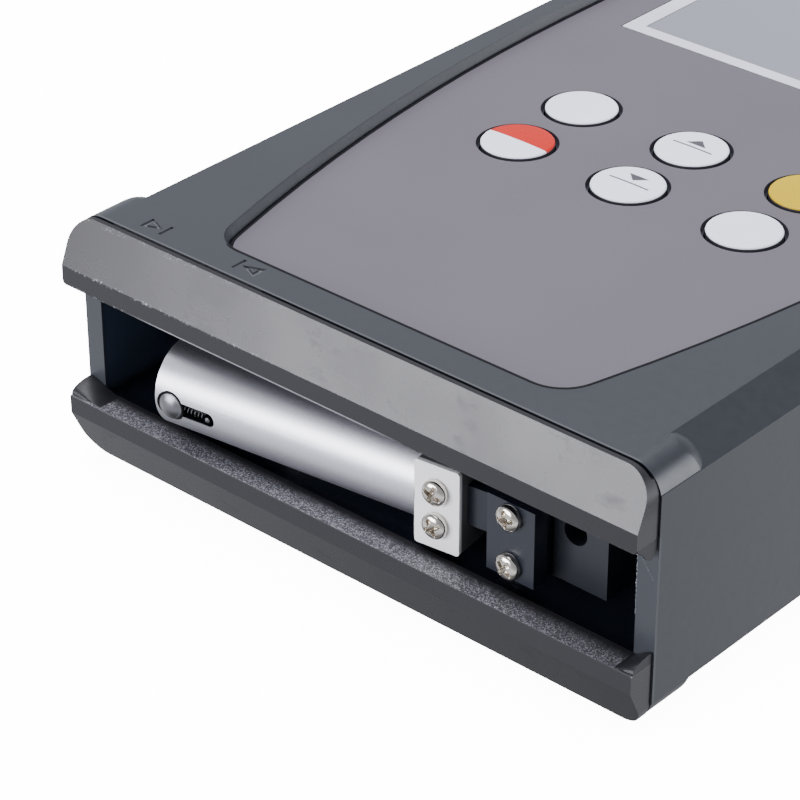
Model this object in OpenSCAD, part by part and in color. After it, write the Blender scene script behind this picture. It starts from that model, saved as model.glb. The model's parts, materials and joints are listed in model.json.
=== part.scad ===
// Pocket surface roughness tester, lying on its back.
// +Z points to the display side, -Y to the measuring end, +X to the right of the measuring end.
// The origin is on the flat base, midway between the feet and the rear face.

/* [Housing] */
// Width of the housing
body_w = 79.4; // [77:0.2:84]
// Length from the feet of the front bars to the rear face
body_l = 128; // [126:1:138]
// Height from the base to the top of the shell
body_h = 30; // [29.5:0.5:33]
// Thickness of the side walls and the base
wall = 2.5; // [2.2:0.1:2.8]
// Height of the parting line between the two shells
split_z = 8.9; // [8.6:0.1:9.6]
// Width of the chamfers along the housing
chamfer_w = 3.7; // [3:0.1:4.2]
// Height of the chamfers along the housing
chamfer_h = 2.8; // [2.2:0.1:3.2]
// Radius of the full corners behind the bars
corner_r = 3.5; // [3:0.1:4]
// Length of the full corners
collar_l = 5.2; // [3:0.1:6]
// Length of the round nose that ends each full corner
nose_l = 2.4; // [2.4:0.1:4]
// Radius of the lower inside edges
inner_r = 3; // [2:0.1:3.5]
// Plan radius of the rear corners
rear_r = 6; // [4:0.5:8]
// Height of the tongue that aligns the two shells
lip_h = 1.2; // [0.8:0.1:1.6]
// Clearance between pieces that are fitted together
fit_gap = 0.15; // [0.1:0.01:0.2]
// Clearance of pieces that are pressed together
press_gap = 0.02; // [0.01:0.01:0.03]
// Distance from the middle to the ribs under the bay
rib_x = 20; // [16:0.5:24]
// Thickness of those ribs
rib_t = 1.8; // [1.2:0.1:2.4]

/* [Front bars] */
// Depth of the bars in front of the housing
bar_d = 3.3; // [3:0.1:4]
// How far the bar ends sit inside the sides of the housing
bar_inset = 0.2; // [0.1:0.1:0.6]
// Height of the lower edge of the upper bar
slot_top = 22.05; // [21.6:0.05:22.4]
// Height of the ledge on the lower bar
slot_bottom = 7.95; // [7.8:0.05:8.3]
// Height of each measuring face
foot_h = 2.3; // [1.5:0.1:3]
// Depth of the narrow flat on top of the upper bar with its groove
bar_land = 1; // [0.8:0.05:1.6]
// Width of the groove between the upper bar and the shell
groove_w = 0.4; // [0.2:0.05:0.6]
// Depth of that groove
groove_d = 1.2; // [0.6:0.1:2]
// Radius of the lower rear edge of the upper bar
bar_back_r = 1.2; // [0.6:0.1:1.6]
// Depth of the flat under the lower bar
lower_land = 0.6; // [0.4:0.1:1.6]
// Corner radius of the lower bar, seen from the front
lower_bar_r = 3; // [1:0.1:4]

/* [Panel] */
// Depth of the panel's face below the top of the shell
panel_recess = 1.3; // [0.8:0.1:1.5]
// Thickness of the panel overlay
panel_t = 0.8; // [0.6:0.1:1]
// Thickness of the shell under the panel
deck_t = 2.1; // [1.8:0.1:2.4]
// Distance from the front of the shell to the panel
panel_front = 5; // [4.4:0.1:6]
// Distance from the panel to the rear face
panel_rear = 7; // [5:0.5:9]
// Greatest half width of the panel
panel_half_w = 33; // [31:0.1:33.5]
// Radius of the panel's bowed sides
panel_side_r = 255; // [200:5:320]
// Distance from the panel's front edge to its widest place
panel_bow = 70; // [60:1:80]
// Corner radius of the panel
panel_corner_r = 4; // [2:0.5:6]
// Width of the sloped rim round the panel
panel_rim = 0.7; // [0.5:0.1:1.2]

/* [Keys] */
// Diameter of a key
key_d = 8.5; // [7.5:0.1:9]
// Distance between key columns
key_pitch_x = 15.86; // [14:0.1:17]
// Distance between key rows
key_pitch_y = 11.5; // [11:0.1:13]
// Distance from the feet to the front row of keys
key_row = 48.45; // [46:0.1:50]
// Width of the dark ring round each key
key_ring = 0.5; // [0.3:0.05:0.7]
// How far the keys stand above the panel
key_proud = 0.4; // [0.2:0.05:0.6]
// Travel of a key
key_travel = 0.4; // [0.2:0.05:0.6]
// Width of the flange that keeps a key in
key_flange = 0.8; // [0.6:0.1:1]
// Thickness of that flange
key_flange_t = 0.9; // [0.7:0.1:1.2]
// Free gap over the flange
key_gap = 0.3; // [0.2:0.05:0.4]

/* [Display] */
// Width of the display with its white border
lcd_w = 53; // [48:0.5:53]
// Length of the display with its white border
lcd_l = 34; // [30:1:35]
// Distance from the rear face to the display's border
lcd_rear = 13.1; // [12:0.1:14.5]
// Width of the border at the sides
lcd_side = 2.2; // [1.6:0.1:3]
// Width of the border at front and rear
lcd_end = 1.8; // [1.4:0.1:3]
// Ledge that carries the window
lcd_ledge = 0.9; // [0.6:0.1:1.2]

/* [Electronics] */
// Thickness of the main board
board_t = 1.6; // [1:0.1:2]
// Distance from the feet to the main board
board_front = 30; // [29.5:0.1:31]
// Distance from the rear face to the main board
board_rear = 6; // [5:0.1:7]
// Free height between the battery bay and the main board
board_gap = 2.6; // [2.3:0.1:3]
// Side of a tact switch
switch_w = 6; // [5:0.1:6.4]
// Height of the plunger
plunger_h = 0.8; // [0.5:0.1:1]
// Diameter of the buzzer
buzzer_d = 9; // [7:0.5:10]
// Height of the buzzer
buzzer_h = 2.2; // [1.5:0.1:2.6]
// Distance from the board's right edge to the middle of the buzzer
buzzer_in = 12.5; // [8:0.5:14]
// Side of a chip
chip_w = 10; // [6:0.5:12]
// Height of a chip
chip_h = 1.4; // [1:0.1:1.8]
// Distance from the board's front edge to the middle of the first chip
chip_in = 10; // [8:0.5:12]
// Distance between the chips
chip_pitch = 14; // [12:0.5:18]

/* [Screws] */
// Radius of the posts that take the housing screws
post_r = 3.2; // [2.8:0.1:3.4]
// Shank radius of the housing screws
post_screw_r = 1.25; // [1:0.05:1.4]
// Depth of the counterbore for the heads
counterbore = 2.6; // [2.2:0.1:3]
// Radius of the posts that carry the main board
stud_r = 2.4; // [2:0.1:2.8]
// Shank radius of the board screws
stud_screw_r = 1; // [0.8:0.05:1.1]
// Clearance round a screw
screw_gap = 0.05; // [0.03:0.01:0.1]
// Length of the housing screws
post_screw_l = 14; // [10:0.5:16]
// Head height of the housing screws
post_head_h = 1.7; // [1.2:0.1:2]
// Length of the board screws
stud_screw_l = 5; // [3.5:0.5:6]
// Head height of the board screws
stud_head_h = 1.2; // [0.8:0.1:1.4]

/* [Batteries] */
// Diameter of a cell
cell_d = 10.4; // [10:0.1:10.6]
// Length of a cell without its tip
cell_l = 43.7; // [43:0.1:44]
// Length of the tip
cell_tip = 0.8; // [0.6:0.1:1]
// Gap between cells
cell_gap = 0.5; // [0.4:0.1:0.8]
// Distance from the rear face to the battery bay
bay_rear = 6.5; // [5.5:0.5:8]
// Wall of the battery bay
bay_wall = 1.5; // [1:0.1:1.6]
// Depth of the spring contacts
spring_l = 3; // [2.5:0.1:4]
// Thickness of the contact plates
contact_t = 0.5; // [0.3:0.1:0.6]
// Thickness of the battery door
door_t = 2; // [1.8:0.05:2]
// How far the door sits above the base plane
door_recess = 0.3; // [0.2:0.05:0.3]
// Width of the door's sliding tongues
door_tongue = 0.9; // [0.6:0.1:1.2]
// Width of the grip on the door
grip_w = 18; // [12:1:24]
// Distance between the grooves of the grip
grip_pitch = 2; // [1.6:0.1:2.6]

/* [Traverse] */
// Distance from the feet to the drive axis
drive_back = 20.5; // [20:0.1:21]
// Height of the drive axis
drive_z = 14.6; // [14.2:0.1:15]
// Travel of the carriage towards the left mark
travel = 11; // [6:0.5:12]
// Radius of the lead screw
lead_r = 1.5; // [1.2:0.05:1.7]
// Radius of the guide rods
rod_r = 1.25; // [1:0.05:1.4]
// Height of each rod above or below the lead screw
rod_rise = 4.1; // [4:0.1:4.3]
// Running clearance of shafts and pins
run_gap = 0.05; // [0.03:0.01:0.08]
// Free length of the rods beyond the travel
travel_spare = 1.5; // [0.8:0.1:3]
// Distance from the right side of the housing to the mechanism frame
frame_in = 6; // [5:0.1:6.5]
// Thickness of the frame's cheeks
cheek_t = 1.5; // [1.2:0.1:1.8]
// Thickness of the frame's base
frame_t = 1; // [0.8:0.1:1.2]
// Radius of the motor and its gearbox
motor_r = 5; // [4.5:0.1:5.4]
// Length of the motor
motor_l = 14; // [10:0.5:18]
// Length of the gearbox
gearbox_l = 8; // [6:0.5:9]
// Height of the bay floor
floor_z = 7.3; // [7:0.1:7.5]
// Thickness of the bay tray
tray_t = 1.2; // [1:0.1:1.4]
// Distance from the feet to the tray's back wall
tray_back = 26.5; // [26.2:0.1:27]

/* [Carriage] */
// Distance from the right side of the housing to the pickup pivot
pivot_in = 18.1; // [18.1:0.1:19]
// Distance from the feet to the pickup pivot
pivot_back = 9.1; // [8.9:0.1:9.4]
// Radius of the pivot pin
pivot_r = 0.8; // [0.6:0.05:0.9]
// Half width of the carriage arm
arm_half = 2.7; // [2.5:0.1:2.8]
// Height of the carriage arm and its front plate
arm_h = 9; // [8.6:0.1:9.6]
// Height of the middle of the front plate
arm_z = 14.2; // [14:0.1:14.7]
// Width of the front plate
plate_w = 6.15; // [5.6:0.05:6.4]
// Thickness of the front plate
plate_t = 2; // [1.6:0.1:2.2]
// Distance from the feet to the front plate
plate_back = 3; // [2.8:0.1:3.2]
// Distance between the screws of the front plate
plate_screw_pitch = 5.8; // [5.4:0.1:6]
// Head radius of the visible screws
screw_head_r = 1.48; // [1.3:0.02:1.6]
// Head height of the visible screws
screw_head_h = 1.1; // [0.8:0.1:1.3]
// Shank radius of the visible screws
screw_r = 0.8; // [0.6:0.05:0.9]
// Thickness of the flange on the nut
nut_flange_t = 1.2; // [0.8:0.1:1.6]
// Thickness of the flanges on the lead screw's bushes
bush_flange_t = 0.8; // [0.5:0.1:1]

/* [Pickup] */
// Angle by which the pickup floats out at rest
swing_deg = 7; // [4:0.5:7]
// Height of the pickup axis
tube_z = 14.5; // [14.3:0.1:14.7]
// Outer radius of the pickup tube
tube_r = 5; // [4.5:0.1:5]
// Bore radius of the pickup tube
tube_bore_r = 3.7; // [3.2:0.1:3.9]
// Length of the pickup tube
tube_l = 33.5; // [28:0.1:33.5]
// Thickness of the tube's closed end
tube_end = 1.2; // [0.8:0.1:1.6]
// Distance from the pivot to the clamp block
tongue_l = 7.65; // [7.3:0.05:8]
// Height of the hinge tongue
tongue_h = 4.7; // [4:0.1:4.8]
// Thickness of the hinge tongue
tongue_t = 3.2; // [2.6:0.1:3.4]
// Distance from the pivot to the front of the pad on the tongue
pad_front = 3.4; // [2.6:0.1:3.4]
// Free gap between the pad and the arm that holds the pivot
pad_gap = 0.8; // [0.7:0.1:1.2]
// Width of the clamp block along the tube
block_w = 5.5; // [5:0.1:6]
// Height of the clamp block
block_h = 10; // [9:0.1:10]
// Depth of the clamp block
block_d = 8; // [7:0.1:8]
// How far the clamp block hangs below the pickup axis
block_drop = 0.6; // [0:0.1:0.8]
// Corner radius of the clamp block
block_r = 0.4; // [0.3:0.1:1]
// Length of the spigot inside the tube
spigot_l = 4; // [3:0.5:5]
// Distance between the screws of the block
block_screw_pitch = 4; // [3.6:0.1:4.4]
// Radius of the skid button
skid_r = 1.55; // [1.2:0.05:1.7]
// How far the skid stands out of the tube
skid_proud = 0.4; // [0.2:0.05:0.6]
// Distance from the tube's end to the middle of the skid
skid_in = 2; // [1.6:0.1:2.4]
// Length of the skid button
skid_l = 3; // [2:0.1:3.4]
// How far the skid and the slot sit below the pickup axis
skid_drop = 0.45; // [0:0.05:0.5]
// Width of the stylus slot
stylus_slot_w = 1.7; // [1.4:0.1:2]
// Distance from the skid to the stylus
stylus_step = 5; // [4:0.1:5.4]
// Distance from the stylus tip to its pivot
stylus_arm_l = 8; // [7:0.5:10]
// Radius of the eye on the stylus arm
stylus_eye_r = 1.3; // [1:0.1:1.5]
// Distance from the stylus pivot to the coil
coil_gap = 3; // [2:0.1:4]
// Length of the stylus arm inside the coil
stylus_tail = 4; // [3:0.5:5]
// Depth of the screw holes in the block
block_hole_l = 4.4; // [4:0.1:5]
// Length of the screws in the block
block_screw_l = 4; // [3:0.1:4]

/* [Hanging post] */
// Distance from the right side of the housing to the post
post_in = 8.1; // [7.4:0.1:8.1]
// Width of the post
post_w = 6.9; // [6:0.1:7]
// Distance from the feet to the post
post_back = 6; // [5.8:0.1:6.4]
// Depth of the post
post_d = 7; // [6:0.1:7.4]
// Height of the post's lower end
post_z = 10; // [9.4:0.1:12]
// Radius of the hole in the post
post_hole_r = 1.45; // [1:0.05:1.6]
// Depth of the hole in the post
post_hole_l = 5.5; // [4:0.5:6]
// Height of the hole in the post
post_hole_z = 16.3; // [15:0.1:17]
// Distance from the post's left face to the hole
post_hole_in = 2.76; // [2:0.02:4]

/* [Travel marks] */
// Distance from the left side of the housing to the left travel mark
mark_in = 9.3; // [8:0.1:11]
// Distance between the travel marks
mark_span = 13.9; // [12:0.1:16]
// Distance from the front of the shell to the marks
mark_front = 2.4; // [2:0.1:2.8]
// Size of a travel mark
mark_size = 2.1; // [1.6:0.1:2.4]
// Width of the engraved lines
mark_line = 0.4; // [0.3:0.05:0.5]
// Depth of the engraved lines
mark_depth = 0.25; // [0.15:0.05:0.4]

/* [Hidden] */
$fn = 64;
eps = 0.01;
far = 200;
y_feet = -body_l / 2;
y_rear = body_l / 2;
y_front = y_feet + bar_d;
half_w = body_w / 2;
inner_half = half_w - wall;

// The full corner stands above the chamfer by the bulge, and a ball of nose_r ends it
chamfer_n = [chamfer_h, chamfer_w] / norm([chamfer_h, chamfer_w]);
chamfer_mid = [half_w - chamfer_w / 2, body_h - chamfer_h / 2];
bulge = corner_r - (chamfer_mid - [half_w - corner_r, body_h - corner_r]) * chamfer_n;
nose_r = (nose_l * nose_l + bulge * bulge) / (2 * bulge);
nose_at = chamfer_mid - (nose_r - bulge) * chamfer_n;

panel_top = body_h - panel_recess;
deck_top = panel_top - panel_t;
deck_under = deck_top - deck_t;
panel_y0 = y_front + panel_front;
panel_y1 = y_rear - panel_rear;

flange_top = deck_under - key_gap;
flange_under = flange_top - key_flange_t;
key_floor_gap = 0.1;
board_y0 = y_feet + board_front;
board_y1 = y_rear - board_rear;

// Each key has a name, a column and a row
KEYS = [["key_power", -1, 0], ["key_down", 0, 0], ["key_cutoff", 1, 0],
        ["key_calibrate", -1, 1], ["key_up", 0, 1], ["key_start", 1, 1]];
function key_at(column, row) = [column * key_pitch_x, y_feet + key_row + row * key_pitch_y];

lcd_y0 = y_rear - lcd_rear - lcd_l;
window_w = lcd_w - 2 * lcd_side;
window_l = lcd_l - 2 * lcd_end;

// The main board is as wide as the display; housing screws stand beside it, board screws near its corners
board_w = lcd_w;
post_x = board_w / 2 + post_r + 0.3;
POSTS = [for (x = [-post_x, post_x], y = [board_y0 + 4, board_y1 - 4]) [x, y]];
stud_x = board_w / 2 - stud_r - 1;
STUDS = [for (x = [-stud_x, stud_x], y = [board_y0 + stud_r + 0.6, board_y1 - stud_r - 0.6]) [x, y]];
post_head_r = post_screw_r * 1.9;

CELLS = 4;
cell_pitch = cell_d + cell_gap;
bat_half = CELLS * cell_pitch / 2;
bat_y1 = y_rear - bay_rear;
bat_y0 = bat_y1 - cell_l - cell_tip - spring_l - 2 * contact_t - 2 * fit_gap;
door_z = door_recess;
door_top = door_z + door_t;
cell_z = door_top + 0.3 + cell_d / 2;
bat_roof = cell_z + cell_d / 2 + 0.4;
board_under = bat_roof + bay_wall + board_gap;
board_top = board_under + board_t;
switch_h = flange_under - key_travel - key_floor_gap - plunger_h - board_top;
door_half = bat_half + 0.8;
door_y0 = bat_y0 - 1.5;
tongue_z0 = door_z + 0.75;
tongue_z1 = door_z + 1.45;

drive_y = y_feet + drive_back;
tray_y1 = y_feet + tray_back;
tray_under = floor_z - tray_t;
frame_top = floor_z + frame_t;
frame_y0 = drive_y - motor_r - 0.5;
frame_y1 = drive_y + motor_r + 0.5;
cheek_top = drive_z + rod_rise + rod_r + 1.4;
ROD_Z = [drive_z - rod_rise, drive_z + rod_rise];
frame_x1 = half_w - frame_in;
bush_r = lead_r + 1.1;
nut_r = lead_r + 0.6;
nut_flange_r = rod_rise - rod_r - 0.35;
rod_bush_r = rod_r + 0.5;

pivot_x = half_w - pivot_in;
pivot_y = y_feet + pivot_back;
plate_y = y_feet + plate_back;
arm_y0 = plate_y + plate_t;
barrel_r = tongue_t / 2 + 0.6;
tongue_slot = barrel_r + 0.2;
car_x0 = pivot_x - arm_half - 2.4;
car_x1 = pivot_x + arm_half;
car_y0 = frame_y0 - 0.2;
car_y1 = drive_y + 3.5;
car_z0 = frame_top + 0.4;
car_z1 = drive_z + rod_rise + rod_bush_r + 0.5;
frame_x0 = car_x0 - nut_flange_t - travel - travel_spare - bush_flange_t - cheek_t;
FRAME_SCREWS = [for (x = [frame_x0 + cheek_t + 2, frame_x1 - cheek_t - 2.2],
                     y = [frame_y0 + 1.8, frame_y1 - 1.8]) [x, y]];
post_x0 = half_w - post_in - post_w;
mark_left_x = -half_w + mark_in;

// Pickup stations, measured from the pivot along the pickup axis
block_x1 = -tongue_l;
block_x0 = block_x1 - block_w;
block_x = (block_x0 + block_x1) / 2;
block_front = tube_r - 0.1;
tube_x0 = block_x0 - tube_l;
skid_x = tube_x0 + skid_in;
stylus_x = skid_x + stylus_step;
stylus_pivot_x = stylus_x + stylus_arm_l;
stylus_r = 0.7;
stylus_pin_r = 0.5;
stylus_tip_r = 0.3;
coil_x0 = stylus_pivot_x + coil_gap;

shell_grey = [0.33, 0.35, 0.37];
bar_black = [0.2, 0.2, 0.22];
part_black = [0.07, 0.07, 0.08];
nickel = [0.75, 0.74, 0.7];
silver = [0.85, 0.86, 0.88];
brass = [0.78, 0.62, 0.3];
steel = [0.6, 0.62, 0.65];

// Shared shapes

// Box between two corners
module block(from, to) {
    translate(from) cube(to - from);
}

// Upright section with its own radii at the lower and upper corners
module section(half, z0, z1, r_low, r_high) {
    translate([-half, z0 + r_low]) square([2 * half, z1 - z0 - r_low - r_high]);
    translate([-half + r_low, z0]) square([2 * (half - r_low), r_low + eps]);
    translate([-half + r_high, z1 - r_high - eps]) square([2 * (half - r_high), r_high + eps]);
    for (side = [-1, 1]) {
        translate([side * (half - r_low), z0 + r_low]) circle(r_low);
        translate([side * (half - r_high), z1 - r_high]) circle(r_high);
    }
}

// The section carried along the housing
module along_y(y0, y1) {
    translate([0, y1, 0]) rotate([90, 0, 0]) linear_extrude(y1 - y0) children();
}

// A side profile in Y and Z carried across the housing
module across_x(x0, x1) {
    translate([x0, 0, 0]) rotate([90, 0, 90]) linear_extrude(x1 - x0) children();
}

// Plan of the housing with rounded rear corners, pulled in by an inset
module plan(inset, y0) {
    half = half_w - inset;
    y1 = y_rear - inset;
    r = rear_r - inset;
    translate([-half, y0]) square([2 * half, y1 - y0 - r]);
    translate([-half + r, y0]) square([2 * (half - r), y1 - y0]);
    for (side = [-1, 1]) translate([side * (half - r), y1 - r]) circle(r);
}

// Section of the long body, with a chamfer at each corner
module chamfered() {
    x = half_w - chamfer_w;
    z = body_h - chamfer_h;
    polygon([[-half_w, chamfer_h], [-x, 0], [x, 0], [half_w, chamfer_h],
             [half_w, z], [x, body_h], [-x, body_h], [-half_w, z]]);
}

// Full corners behind the bars, each run out on its chamfer in a ball nose
module front_collar() {
    y = y_front + collar_l;
    intersection() {
        along_y(y_front, y + 2 * nose_l) section(half_w, 0, body_h, corner_r, corner_r);
        union() {
            block([-far, y_front, 0], [far, y, body_h]);
            for (side = [-1, 1], z = [nose_at.y, body_h - nose_at.y])
                translate([side * nose_at.x, y, z]) sphere(nose_r);
        }
    }
}

// Outer form of the housing
module outer_form() {
    intersection() {
        union() {
            along_y(y_front, y_rear) chamfered();
            front_collar();
        }
        linear_extrude(body_h) plan(0, y_front);
    }
}

// Hollow inside of the housing
module cavity() {
    intersection() {
        along_y(y_front + wall, y_rear - wall) section(inner_half, wall, deck_under, inner_r, 1);
        linear_extrude(body_h) plan(wall, y_front);
    }
}

// Ring between two insets of the plan, behind the bay
module plan_ring(outer, inner, z0, z1) {
    translate([0, 0, z0]) linear_extrude(z1 - z0) difference() {
        plan(outer, tray_y1 + wall + 1);
        plan(inner, y_front);
    }
}

// Outline of the panel: bowed sides that run straight behind the widest place, and round corners
module panel_outline(grow) {
    side_x = panel_side_r - panel_half_w;
    bow_y = panel_y0 + panel_bow;
    offset(r = panel_corner_r + grow, $fn = 32) offset(delta = -panel_corner_r) intersection() {
        translate([-panel_half_w, panel_y0]) square([2 * panel_half_w, panel_y1 - panel_y0]);
        union() {
            intersection() {
                translate([-side_x, bow_y]) circle(panel_side_r, $fn = 240);
                translate([side_x, bow_y]) circle(panel_side_r, $fn = 240);
            }
            translate([-panel_half_w, bow_y]) square([2 * panel_half_w, panel_y1 - bow_y]);
        }
    }
}

// Pan head screw with a cross recess, head up, its seat at the origin
module pan_screw(head_r, head_h, shank_r, shank_l) {
    dome_r = 1.4 * head_r;
    difference() {
        union() {
            intersection() {
                cylinder(r = head_r, h = head_h);
                translate([0, 0, head_h - dome_r]) sphere(dome_r);
            }
            translate([0, 0, -shank_l]) cylinder(r = shank_r, h = shank_l + eps);
        }
        for (turn = [0, 90]) rotate([0, 0, turn])
            translate([-0.6 * head_r, -0.13 * head_r, head_h * 0.5])
                cube([1.2 * head_r, 0.26 * head_r, head_h]);
    }
}

// Places the pickup's own frame: origin on the pivot, +X from the tube to the pivot
module pickup_frame() {
    translate([pivot_x, pivot_y, tube_z]) rotate([0, 0, swing_deg]) children();
}

// Drill along Y from a face, pointing into the part
module drill_y(r, l) {
    rotate([-90, 0, 0]) cylinder(r = r, h = l);
}

// A cylinder along X between two stations
module bar_x(x0, x1, r) {
    translate([x0, 0, 0]) rotate([0, 90, 0]) cylinder(r = r, h = x1 - x0);
}

// Housing

// One travel mark: a triangle that points at a bar
module travel_mark(direction) {
    size = mark_size;
    scale_in = 0.42;
    translate([direction * size * 0.72, 0]) square([mark_line, size], center = true);
    translate([-direction * size * 0.1, 0]) difference() {
        polygon([[-direction * size * 0.6, -size / 2], [-direction * size * 0.6, size / 2],
                 [direction * size * 0.6, 0]]);
        translate([-direction * size * 0.08, 0]) scale(scale_in)
            polygon([[-direction * size * 0.6, -size / 2], [-direction * size * 0.6, size / 2],
                     [direction * size * 0.6, 0]]);
    }
}

// Recess for the panel: upright round the overlay, then sloped out to the top of the shell
module panel_pocket() {
    hull() {
        translate([0, 0, deck_top]) linear_extrude(panel_t) panel_outline(fit_gap);
        translate([0, 0, body_h]) linear_extrude(1) panel_outline(panel_rim);
    }
}

module upper_housing() color(shell_grey) difference() {
    union() {
        difference() {
            outer_form();
            block([-far, -far, -eps], [far, far, split_z]);
            cavity();
            block([-inner_half, y_front - eps, 0], [inner_half, y_front + wall + eps, slot_top]);
            plan_ring(wall / 2, wall + fit_gap, split_z - eps, split_z + lip_h + fit_gap);
        }
        for (p = POSTS) translate([p.x, p.y, split_z]) cylinder(r = post_r, h = deck_under - split_z + eps);
        for (p = STUDS) translate([p.x, p.y, board_top]) cylinder(r = stud_r, h = deck_under - board_top + eps);
        block([post_x0, y_feet + post_back, post_z],
              [post_x0 + post_w, y_feet + post_back + post_d, deck_under + eps]);
    }
    panel_pocket();
    for (k = KEYS) translate(concat(key_at(k[1], k[2]), deck_under - 1))
        cylinder(r = key_d / 2 + fit_gap, h = deck_t + 2);
    translate([-window_w / 2 + lcd_ledge, lcd_y0 + lcd_end + lcd_ledge, deck_under - 1])
        cube([window_w - 2 * lcd_ledge, window_l - 2 * lcd_ledge, deck_t + 2]);
    for (p = POSTS) translate([p.x, p.y, split_z - eps])
        cylinder(r = post_screw_r + screw_gap, h = post_screw_l + counterbore - split_z + 1);
    for (p = STUDS) translate([p.x, p.y, board_top - eps])
        cylinder(r = stud_screw_r + screw_gap, h = stud_screw_l - board_t + 0.5);
    translate([post_x0 + post_hole_in, y_feet + post_back - eps, post_hole_z])
        drill_y(post_hole_r, post_hole_l);
    for (m = [[mark_left_x, 1], [mark_left_x + mark_span, -1]])
        translate([m.x, y_front + mark_front, body_h - mark_depth])
            linear_extrude(mark_depth + eps) travel_mark(m[1]);
}

module lower_housing() color(shell_grey) difference() {
    union() {
        difference() {
            outer_form();
            block([-far, -far, split_z], [far, far, far]);
            cavity();
            block([-inner_half, y_front - eps, tray_under], [inner_half, y_front + wall + eps, split_z + eps]);
        }
        plan_ring(wall / 2 + fit_gap, wall, split_z - eps, split_z + lip_h);
        for (p = POSTS) translate([p.x, p.y, 0]) cylinder(r = post_r, h = split_z);
        for (side = [-1, 1]) translate([side * rib_x, 0, 0])
            block([-rib_t / 2, y_front + wall - eps, wall - eps], [rib_t / 2, tray_y1, tray_under]);
        block([-bat_half - bay_wall, bat_y0 - bay_wall, wall - eps],
              [bat_half + bay_wall, bat_y1 + bay_wall, bat_roof + bay_wall]);
    }
    block([-bat_half, bat_y0, -eps], [bat_half, bat_y1, bat_roof]);
    block([-door_half, door_y0, -1], [door_half, y_rear + 1, door_top + fit_gap]);
    block([-door_half - door_tongue - fit_gap, door_y0, tongue_z0 - fit_gap],
          [door_half + door_tongue + fit_gap, y_rear + 1, tongue_z1 + fit_gap]);
    for (p = POSTS) translate([p.x, p.y, -eps]) {
        cylinder(r = post_head_r + fit_gap, h = counterbore);
        cylinder(r = post_screw_r + screw_gap, h = split_z + 1);
    }
}

module housing_screws() color(steel) for (p = POSTS)
    translate([p.x, p.y, counterbore - eps]) rotate([180, 0, 0])
        pan_screw(post_head_r, post_head_h, post_screw_r, post_screw_l);

// Front bars

module front_upper_bar() color(bar_black) intersection() {
    across_x(-half_w, half_w) polygon([
        [y_feet, slot_top], [y_feet, slot_top + foot_h], [y_front - bar_land, body_h],
        [y_front - groove_w, body_h], [y_front - groove_w, body_h - groove_d], [y_front, body_h - groove_d],
        [y_front, slot_top]]);
    along_y(y_feet, y_front) section(half_w - bar_inset, slot_top, body_h, 0.5, corner_r - bar_inset);
    across_x(-half_w, half_w) union() {
        translate([y_feet, slot_top + bar_back_r]) square([bar_d, body_h]);
        translate([y_feet, slot_top]) square([bar_d - bar_back_r, body_h]);
        translate([y_front - bar_back_r, slot_top + bar_back_r]) circle(bar_back_r);
    }
}

module front_lower_bar() color(bar_black) intersection() {
    across_x(-half_w, half_w) polygon([
        [y_feet, slot_bottom], [y_feet, slot_bottom - foot_h], [y_front - lower_land, 0],
        [y_front, 0], [y_front, slot_bottom]]);
    along_y(y_feet, y_front) section(half_w - bar_inset, 0, slot_bottom, lower_bar_r, 0.3);
}

module bay_tray() color(part_black) {
    block([-inner_half + fit_gap, y_front + eps, tray_under], [inner_half - fit_gap, tray_y1 + tray_t, floor_z]);
    block([-inner_half + 0.6, tray_y1, floor_z - eps], [inner_half - 0.6, tray_y1 + tray_t, deck_under - 0.3]);
}

// Panel and display

module panel_overlay() color([0.54, 0.53, 0.56]) difference() {
    translate([0, 0, deck_top]) linear_extrude(panel_t) panel_outline(0);
    for (k = KEYS) translate(concat(key_at(k[1], k[2]), deck_top - 1))
        cylinder(r = key_d / 2 + key_ring, h = panel_t + 2);
    translate([-lcd_w / 2 - fit_gap, lcd_y0 - fit_gap, deck_top - 1])
        cube([lcd_w + 2 * fit_gap, lcd_l + 2 * fit_gap, panel_t + 2]);
}

module lcd_frame() color([0.87, 0.87, 0.9]) difference() {
    block([-lcd_w / 2, lcd_y0, deck_top], [lcd_w / 2, lcd_y0 + lcd_l, panel_top]);
    translate([-window_w / 2, lcd_y0 + lcd_end, deck_top - 1]) cube([window_w, window_l, panel_t + 2]);
}

module lcd_window() color([0.7, 0.74, 0.78])
    block([-window_w / 2 + 0.05, lcd_y0 + lcd_end + 0.05, deck_top],
          [window_w / 2 - 0.05, lcd_y0 + lcd_end + window_l - 0.05, panel_top - 0.1]);

module lcd_module() color([0.5, 0.56, 0.5]) {
    block([-lcd_w / 2, lcd_y0, board_top], [lcd_w / 2, lcd_y0 + lcd_l, deck_under - 0.2]);
}

// Keys: a cap that runs in the shell, and a flange under the shell that keeps it in
module key(column, row) translate(key_at(column, row)) {
    translate([0, 0, flange_under]) cylinder(r = key_d / 2, h = panel_top + key_proud - flange_under);
    translate([0, 0, flange_under]) cylinder(r = key_d / 2 + key_flange, h = key_flange_t);
}

module key_power() color([0.88, 0.4, 0.35]) key(-1, 0);
module key_down() color([0.88, 0.89, 0.92]) key(0, 0);
module key_cutoff() color([0.88, 0.89, 0.92]) key(1, 0);
module key_calibrate() color([0.88, 0.89, 0.92]) key(-1, 1);
module key_up() color([0.88, 0.89, 0.92]) key(0, 1);
module key_start() color([0.92, 0.78, 0.24]) key(1, 1);

// Electronics

module main_board() color([0.1, 0.4, 0.2]) difference() {
    block([-board_w / 2, board_y0, board_under], [board_w / 2, board_y1, board_top]);
    for (p = STUDS) translate([p.x, p.y, board_under - 1])
        cylinder(r = stud_screw_r + screw_gap, h = board_t + 2);
}

module board_screws() color(steel) for (p = STUDS)
    translate([p.x, p.y, board_under]) rotate([180, 0, 0])
        pan_screw(stud_screw_r * 1.9, stud_head_h, stud_screw_r, stud_screw_l);

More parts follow.
